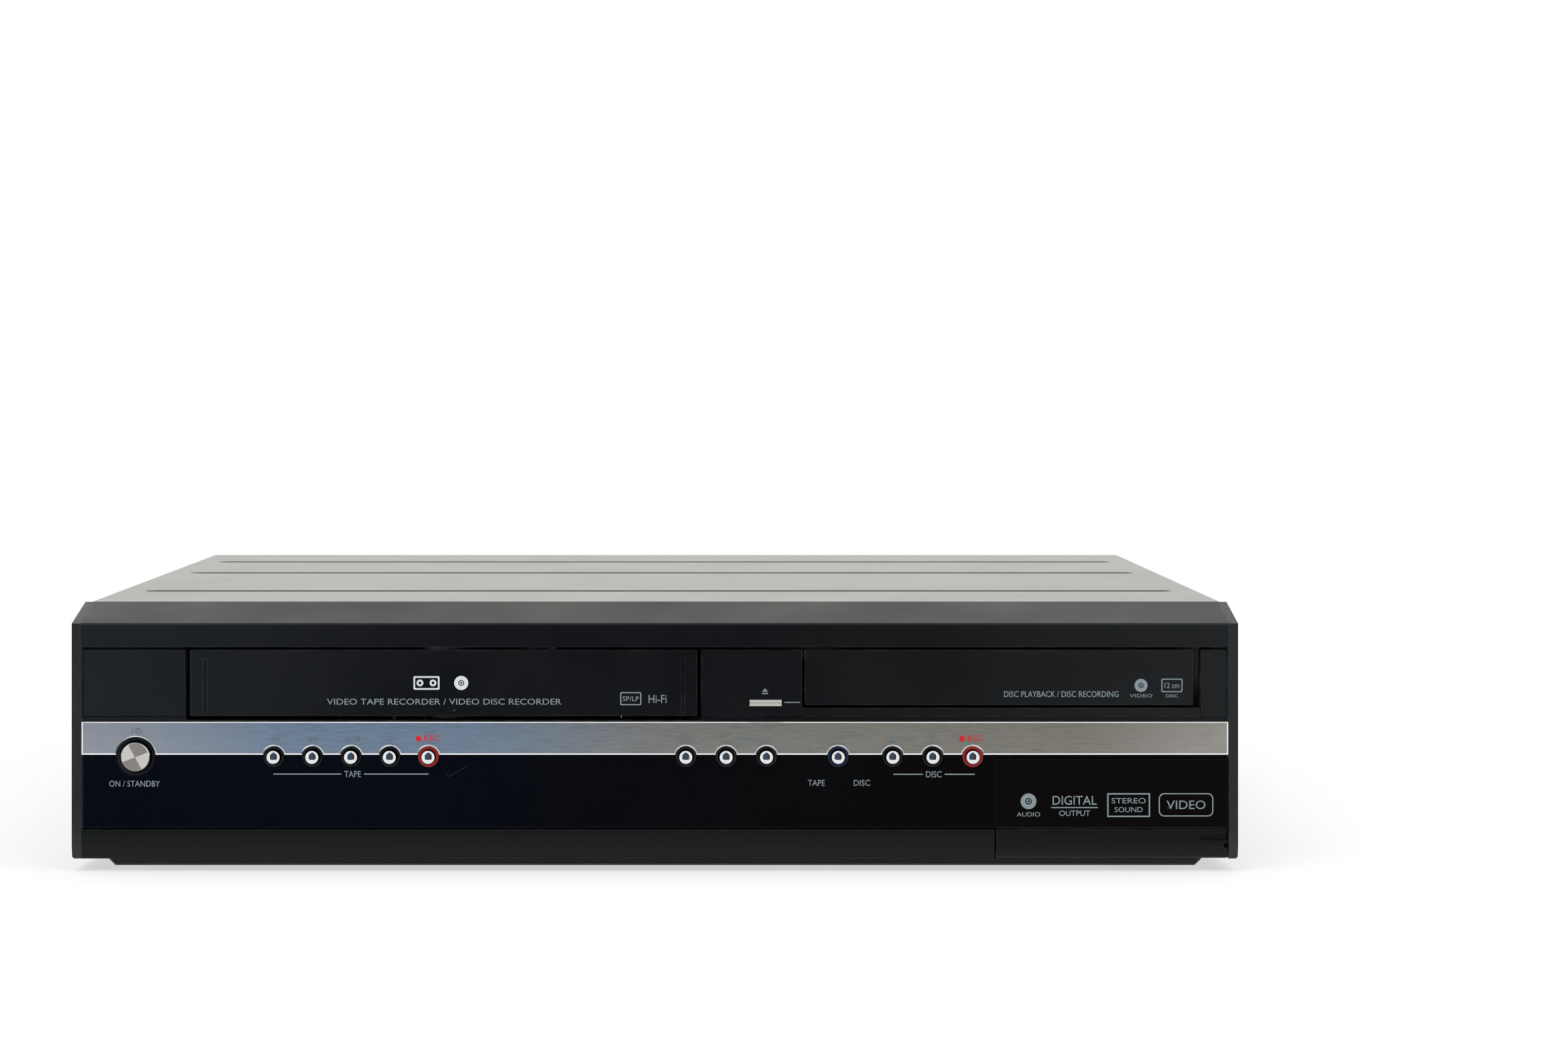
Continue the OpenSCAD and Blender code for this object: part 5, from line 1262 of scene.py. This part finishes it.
@dataclass
class Label:
    """The print of one ink on one panel. A box is its left, right, low and high edge in millimetres."""

    name: str
    ink: Finish
    face: float
    body: str = "cabinet"
    slot: str = "front_plastic"
    words: Sequence[tuple[str, Box]] = ()
    bars: Sequence[Box] = ()
    shapes: Sequence[Outline] = ()
    # A box, the width of its line, and the radii of its outer and inner corners
    frames: Sequence[tuple[Box, float, float, float]] = ()
    # The middle's place across and its height, the outer and inner radii, and the number of flats
    rings: Sequence[tuple[float, float, float, float, int]] = ()

    def print(self, layer: float) -> None:
        """Draw the label as one thin piece.

        Args:
            layer: How far the ink stands in front of the face, and reaches behind it.
        """
        depths = self.face + layer, self.face - layer
        solid = Solid()
        for text, box in self.words:
            solid.words(text, box, *depths)
        for outline in [rectangle(*box) for box in self.bars] + list(self.shapes):
            solid.prism(outline, *depths)
        for (left, right, low, high), line, outer, inner in self.frames:
            hole = rectangle(left + line, right - line, low + line, high - line, inner)
            solid.band(rectangle(left, right, low, high, outer), hole, *depths)
        for x, z, outer, inner, steps in self.rings:
            solid.band(circle(x, z, outer, steps), circle(x, z, inner, steps), *depths)
        solid.place(self.name, self.body, self.slot, [self.ink])


def disc_sign(x: float, z: float, radius: float) -> list[tuple[float, float, float, float, int]]:
    """Return the rings of a plain disc: a broad ring with a small ring in it."""
    return [(x, z, radius * outer, radius * inner, 32) for outer, inner in ((1.0, 0.42), (0.28, 0.14))]


@dataclass
class Print:
    """Plain words and pictograms in ink on the front."""

    layer: float = 0.03
    panel_back: float = 0.3
    key_shift: float = 0.4
    sign_z: float = 49.3
    window: float = field(init=False)
    panel: float = field(init=False)

    def build(self) -> None:
        """Print the strip, the window, the doors and the flap."""
        self.window = CadNode("display_window").low.y
        self.panel = self.window + self.panel_back
        for label in (*self._strip(), *self._window(), *self._panels(), self._flap()):
            label.print(self.layer)

    def _key_x(self, key: str) -> float:
        """Return the place across of a key's sign."""
        return CadNode(key + "_key").middle.x + self.key_shift

    def _strip(self) -> list[Label]:
        """List the faint pictograms and the red REC marks above the keys.

        Returns:
            The labels.
        """
        face, slot, z = CadNode("trim_strip").low.y, "trim_aluminium", self.sign_z
        stop, halt = self._key_x("tape_stop"), self._key_x("disc_stop")
        power = CadNode("power_button").middle.x
        shapes = [
            triangle(self._key_x(key) + step, z, 1.8, 1.8, way)
            for key, way in (("tape_rewind", "left"), ("tape_forward", "right")) for step in (-0.95, 0.95)
        ]
        shapes += [
            triangle(stop - 1.7, z + 0.35, 2.2, 1.1, "up"),
            triangle(self._key_x("tape_play") + 0.6, z, 2.0, 1.8, "right"),
            triangle(self._key_x("disc_play"), z, 2.0, 1.8, "right"),
        ]
        bars = [
            (stop - 2.8, stop - 0.6, z - 0.9, z - 0.5),
            (stop + 1.1, stop + 2.9, z - 0.9, z + 0.9),
            (halt - 0.9, halt + 0.9, z - 0.9, z + 0.9),
            (power + 0.78, power + 1.02, 52.2, 53.4),
            (power - 1.5, power - 1.25, 51.3, 53.2),
        ]
        source, down, up = (self._key_x(key) for key in ("input", "channel_down", "channel_up"))
        words = [
            ("INPUT", (source - 3.6, source + 3.6, z - 0.8, z + 0.8)),
            ("CHANNEL", (down + 2.2, up - 2.2, z - 0.8, z + 0.8)),
            ("/", (power - 1.0, power - 0.4, 51.3, 53.2)),
        ]
        rings = [(power + 0.9, 52.2, 1.0, 0.72, 24)]
        dots = [circle(x, 49.35, 1.1, 24) for x in (-87.1, 113.2)]
        record = [("REC", (left, right, 48.4, 50.6)) for left, right in ((-85.1, -79.2), (115.3, 120.8))]
        return [
            Label("strip_pictograms", INK_FAINT, face, "cabinet", slot, words, bars, shapes, rings=rings),
            Label("record_marks", INK_RED, face, "cabinet", slot, record, shapes=dots),
        ]

    def _window(self) -> list[Label]:
        """List the words and group lines under the keys, and the scratch.

        Returns:
            The labels.
        """
        words = [
            ("ON / STANDBY", (-201.1, -182.4, 31.6, 33.8)),
            ("TAPE", (56.4, 62.6, 31.9, 34.1)),
            ("DISC", (73.3, 79.3, 31.9, 34.1)),
        ]
        bars = []
        for start, left, right, end, text, low in (
            (-140.6, -114.5, -108.3, -83.4, "TAPE", 35.1), (87.9, 99.9, 105.7, 117.9, "DISC", 35.0)
        ):
            words.append((text, (left, right, low, low + 2.3)))
            bars += [(a, b, low + 0.95, low + 1.35) for a, b in ((start, left - 1.1), (right + 1.1, end))]
        scratch, half = ((-77.1, 36.5), (-76.0, 35.3), (-68.6, 39.55)), 0.06
        lines = [
            [(x0, z0 - half), (x1, z1 - half), (x1, z1 + half), (x0, z0 + half)]
            for (x0, z0), (x1, z1) in zip(scratch, scratch[1:])
        ]
        return [
            Label("window_print", INK_GREY, self.window, "cabinet", "window_gloss", words, bars),
            Label("hairline_scratch", SCRATCH, self.window, "cabinet", "window_gloss", shapes=lines),
        ]

    def _panels(self) -> list[Label]:
        """List the print of the centre panel, the cassette door and the disc tray.

        Returns:
            The labels.
        """
        x = CadNode("eject_button").middle.x
        door_words = [
            ("VIDEO TAPE RECORDER / VIDEO DISC RECORDER", (-120.9, -34.5, 61.8, 64.0)),
            ("SP/LP", (-11.9, -5.9, 63.1, 64.9)),
            ("Hi-Fi", (-2.3, 4.3, 62.4, 65.4)),
        ]
        tray_words = [
            ("DISC PLAYBACK / DISC RECORDING", (128.7, 170.9, 64.6, 66.8)),
            ("VIDEO", (175.0, 183.4, 64.5, 65.7)),
            ("12 cm", (187.9, 193.3, 67.9, 69.9)),
            ("DISC", (188.4, 192.8, 64.5, 65.6)),
        ]
        reels = [(reel, 69.8, 1.25, 0.55, 24) for reel in (-86.6, -81.8)]
        return [
            Label(
                "eject_mark", INK_GREY, self.panel, shapes=[triangle(x - 0.2, 67.2, 2.2, 1.2, "up")],
                bars=[(x - 1.3, x + 0.9, 65.7, 66.15), (x + 7.0, x + 12.7, 62.45, 62.8)],
            ),
            Label(
                "door_signs", INK_SILVER, self.panel, "tape_door", rings=reels + disc_sign(-71.4, 69.8, 2.6),
                frames=[((-89.0, -79.4, 67.3, 72.3), 0.6, 0.5, 0.375)],
            ),
            Label(
                "door_words", INK_GREY, self.panel, "tape_door", words=door_words,
                frames=[((-12.8, -5.0, 61.6, 66.4), 0.4, 0.5, 0.4)],
            ),
            Label(
                "tray_words", INK_GREY, self.panel, "tray", words=tray_words,
                frames=[((186.7, 194.5, 66.4, 71.4), 0.4, 0.6, 0.4)], rings=disc_sign(179.2, 68.9, 2.4),
            ),
        ]

    def _flap(self) -> Label:
        """List the four plain signs on the flap.

        Returns:
            The label.
        """
        words = [
            ("AUDIO", (133.4, 142.0, 20.6, 22.2)),
            ("DIGITAL", (146.6, 162.8, 24.9, 28.2)),
            ("OUTPUT", (149.0, 160.4, 20.8, 22.8)),
            ("STEREO", (168.3, 180.9, 25.4, 27.4)),
            ("SOUND", (169.4, 179.8, 22.2, 24.1)),
            ("VIDEO", (188.6, 202.9, 23.3, 26.5)),
        ]
        frames = [((166.7, 182.5, 20.4, 29.2), 0.5, 0.0, 0.0), ((185.7, 205.8, 20.6, 29.2), 0.4, 2.0, 1.7)]
        return Label(
            "flap_signs", INK_GREY, self.window, "flap", "flap_plastic", words, [(146.1, 163.3, 23.7, 24.1)],
            frames=frames, rings=disc_sign(137.7, 26.2, 2.9),
        )


@dataclass
class Interior:
    """Every node that keeps its own mesh."""

    def build(self) -> None:
        """Give each shown node the finish of its slot."""
        for name, node in frame["nodes"].items():
            if not node.hide_render:
                node.data.materials.clear()
                node.data.materials.append(SLOT_FINISH[CadNode(name).slot].material())


@dataclass
class Studio:
    """Table, soft lamps, the tent and the dark room that metal and gloss mirror, and the camera."""

    camera_at: Triple = (0.0184, -1.4315, 0.1855)
    lens: float = 78.12
    shift: Span = (0.0505, -0.0978)
    sensor: float = 36.0
    clip: Span = (0.05, 60.0)
    table_half: float = 8.0
    table_front: float = -0.2475
    paper: Box = (0.88, 0.88, 0.88, 1.0)
    glow: Span = (0.64, 1.0)
    glow_over: Span = (0.26, 0.7)
    shade: Span = (0.8, 1.0)
    shade_from: tuple[tuple[str, float], ...] = (("X", 0.18), ("Y", 0.176))
    shade_width: float = 0.042
    soft_light: float = 0.4
    least_ahead: float = 0.001
    opening_sides: Span = (0.86, 0.74)
    opening_roof: Span = (1.36, 1.22)
    left_to_right: Span = (-0.12, 0.08)
    middle_to_rim: Span = (0.28, 0.62)
    room_colours: tuple[str, ...] = ("#38547f", "#54493f", "#3a3c3c")
    tent_colour: str = "#fefefa"
    lamps: tuple[tuple[str, Triple, float, float], ...] = (
        ("key", (-0.9, -1.6, 1.9), 1.6, 26.0),
        ("fill", (1.2, -1.4, 1.4), 1.6, 16.0),
        ("top", (0.0, 0.2, 2.4), 2.4, 34.0),
    )

    def build(self) -> None:
        """Set up the studio."""
        self._camera()
        self._table()
        self._world()
        for name, at, size, power in self.lamps:
            light = bpy.data.lights.new(name, "AREA")
            light.shape, light.size, light.energy = "SQUARE", size, power
            lamp = link_object(name, light)
            lamp.location = at
            lamp.rotation_euler = (-Vector(at)).to_track_quat("-Z", "Y").to_euler()
            lamp.visible_glossy = False
        bpy.context.scene.view_settings.view_transform = "Standard"

    def _camera(self) -> None:
        """Place the camera, level and square to the front, with its lens shifted to frame the object."""
        data = bpy.data.cameras.new("camera")
        data.lens, data.sensor_width, data.sensor_fit = self.lens, self.sensor, "HORIZONTAL"
        data.shift_x, data.shift_y = self.shift
        data.clip_start, data.clip_end = self.clip
        camera = link_object("camera", data)
        camera.location = self.camera_at
        camera.rotation_euler = (math.radians(90), 0.0, 0.0)
        bpy.context.scene.camera = camera

    def _seen(self, tree: Tree) -> tuple[Node, bpy.types.bpy_prop_collection]:
        """Sort the rays of light.

        Args:
            tree: The nodes of the table or the world.

        Returns:
            A node that is 1 for what the camera, gloss and glass see, and the outputs of Light Path.
        """
        path = add_node(tree, "ShaderNodeLightPath").outputs
        rays = path["Is Camera Ray"], path["Is Glossy Ray"]
        rays = add_node(tree, "ShaderNodeMath", rays, operation="MAXIMUM"), path["Is Transmission Ray"]
        return add_node(tree, "ShaderNodeMath", rays, operation="MAXIMUM"), path

    def _table(self) -> None:
        """Lay a pale table that turns into the white backdrop, and ends for gloss in front of the object."""
        half = self.table_half
        data = bpy.data.meshes.new("table")
        corners = [(*point, 0.0) for point in rectangle(-half, half, -half, half)]
        data.from_pydata(corners, [], [(0, 1, 2, 3)])
        made = bpy.data.materials.new("pale_paper")
        tree = fresh_tree(made)
        place = add_node(tree, "ShaderNodeTexCoord").outputs["Object"]
        parts = add_node(tree, "ShaderNodeSeparateXYZ", (place,)).outputs
        seen, path = self._seen(tree)
        away = add_node(tree, "ShaderNodeVectorMath", (place,), operation="LENGTH").outputs["Value"]
        away = (away, *self.glow_over, *self.glow)
        far = add_node(tree, "ShaderNodeMapRange", away, interpolation_type="SMOOTHSTEP")
        # Near the object's footprint less white glow is mixed in, so the table is darker there: real shadow,
        # deepened by painted shade
        near = []
        for axis, start in self.shade_from:
            off = add_node(tree, "ShaderNodeMath", (parts[axis],), operation="ABSOLUTE")
            off = (off, start, start + self.shade_width, *self.shade)
            near.append(add_node(tree, "ShaderNodeMapRange", off, interpolation_type="SMOOTHSTEP"))
        share = far, add_node(tree, "ShaderNodeMath", near, operation="MAXIMUM")
        share = add_node(tree, "ShaderNodeMath", share, operation="MULTIPLY")
        share = add_node(tree, "ShaderNodeMath", (share, seen), operation="MULTIPLY")
        paper = add_node(tree, "ShaderNodeBsdfDiffuse", {"Color": self.paper})
        white = add_node(tree, "ShaderNodeEmission", {"Color": WHITE, "Strength": 1.0})
        both = add_node(tree, "ShaderNodeMixShader", {0: share, 1: paper, 2: white})
        front = add_node(tree, "ShaderNodeMath", (parts["Y"], self.table_front), operation="LESS_THAN")
        gone = add_node(tree, "ShaderNodeMath", (front, path["Is Glossy Ray"]), operation="MULTIPLY")
        clear = add_node(tree, "ShaderNodeBsdfTransparent")
        whole = add_node(tree, "ShaderNodeMixShader", {0: gone, 1: both, 2: clear})
        add_node(tree, "ShaderNodeOutputMaterial", {"Surface": whole})
        data.materials.append(made)
        link_object("table", data)

    def _room(self, tree: Tree) -> Socket:
        """Draw the tent's opening, blue on the left and brown on the right, in its white wall.

        Args:
            tree: The world's nodes.

        Returns:
            The colour in each direction.
        """
        way = add_node(tree, "ShaderNodeTexCoord").outputs["Generated"]
        way = add_node(tree, "ShaderNodeSeparateXYZ", (way,)).outputs
        ahead = add_node(tree, "ShaderNodeMath", (way["Y"], -1.0), operation="MULTIPLY")
        ahead = add_node(tree, "ShaderNodeMath", (ahead, self.least_ahead), operation="MAXIMUM")
        across, up = (
            add_node(tree, "ShaderNodeMath", (way[axis], ahead), operation="DIVIDE") for axis in "XZ"
        )
        aside = add_node(tree, "ShaderNodeMath", (across,), operation="ABSOLUTE")
        slope = add_node(tree, "ShaderNodeMath", (up, aside), operation="ADD")
        sides, roof, turn, rim = (
            add_node(tree, "ShaderNodeMapRange", (value, *span, 0.0, 1.0), interpolation_type="SMOOTHSTEP")
            for value, span in (
                (aside, self.opening_sides),
                (slope, self.opening_roof),
                (across, self.left_to_right),
                (aside, self.middle_to_rim),
            )
        )
        colour, *tones = map(linear, self.room_colours)
        for share, tone in zip((turn, rim), tones):
            both = {0: share, 6: colour, 7: tone}
            colour = add_node(tree, "ShaderNodeMix", both, data_type="RGBA").outputs[2]
        opening = add_node(tree, "ShaderNodeMath", (sides, roof), operation="MULTIPLY")
        both = {0: opening, 6: linear(self.tent_colour), 7: colour}
        return add_node(tree, "ShaderNodeMix", both, data_type="RGBA").outputs[2]

    def _world(self) -> None:
        """Light the object evenly, and show a white backdrop and the room."""
        world = bpy.data.worlds.new("studio")
        tree = fresh_tree(world)
        seen, path = self._seen(tree)
        shown = {0: path["Is Camera Ray"], 6: self._room(tree), 7: WHITE}
        shown = add_node(tree, "ShaderNodeMix", shown, data_type="RGBA").outputs[2]
        soft = add_node(tree, "ShaderNodeBackground", {"Color": WHITE, "Strength": self.soft_light})
        bright = add_node(tree, "ShaderNodeBackground", {"Color": shown, "Strength": 1.0})
        both = add_node(tree, "ShaderNodeMixShader", {0: seen, 1: soft, 2: bright})
        add_node(tree, "ShaderNodeOutputWorld", {"Surface": both})
        bpy.context.scene.world = world


def main() -> None:
    """Build the scene and report each piece."""
    logging.basicConfig(level=logging.INFO, format="%(message)s")
    for part in (Studio, FrontPanel, RoundControls, Cabinet, Sockets, Print, Interior):
        part().build()


if __name__ == "__main__":
    main()
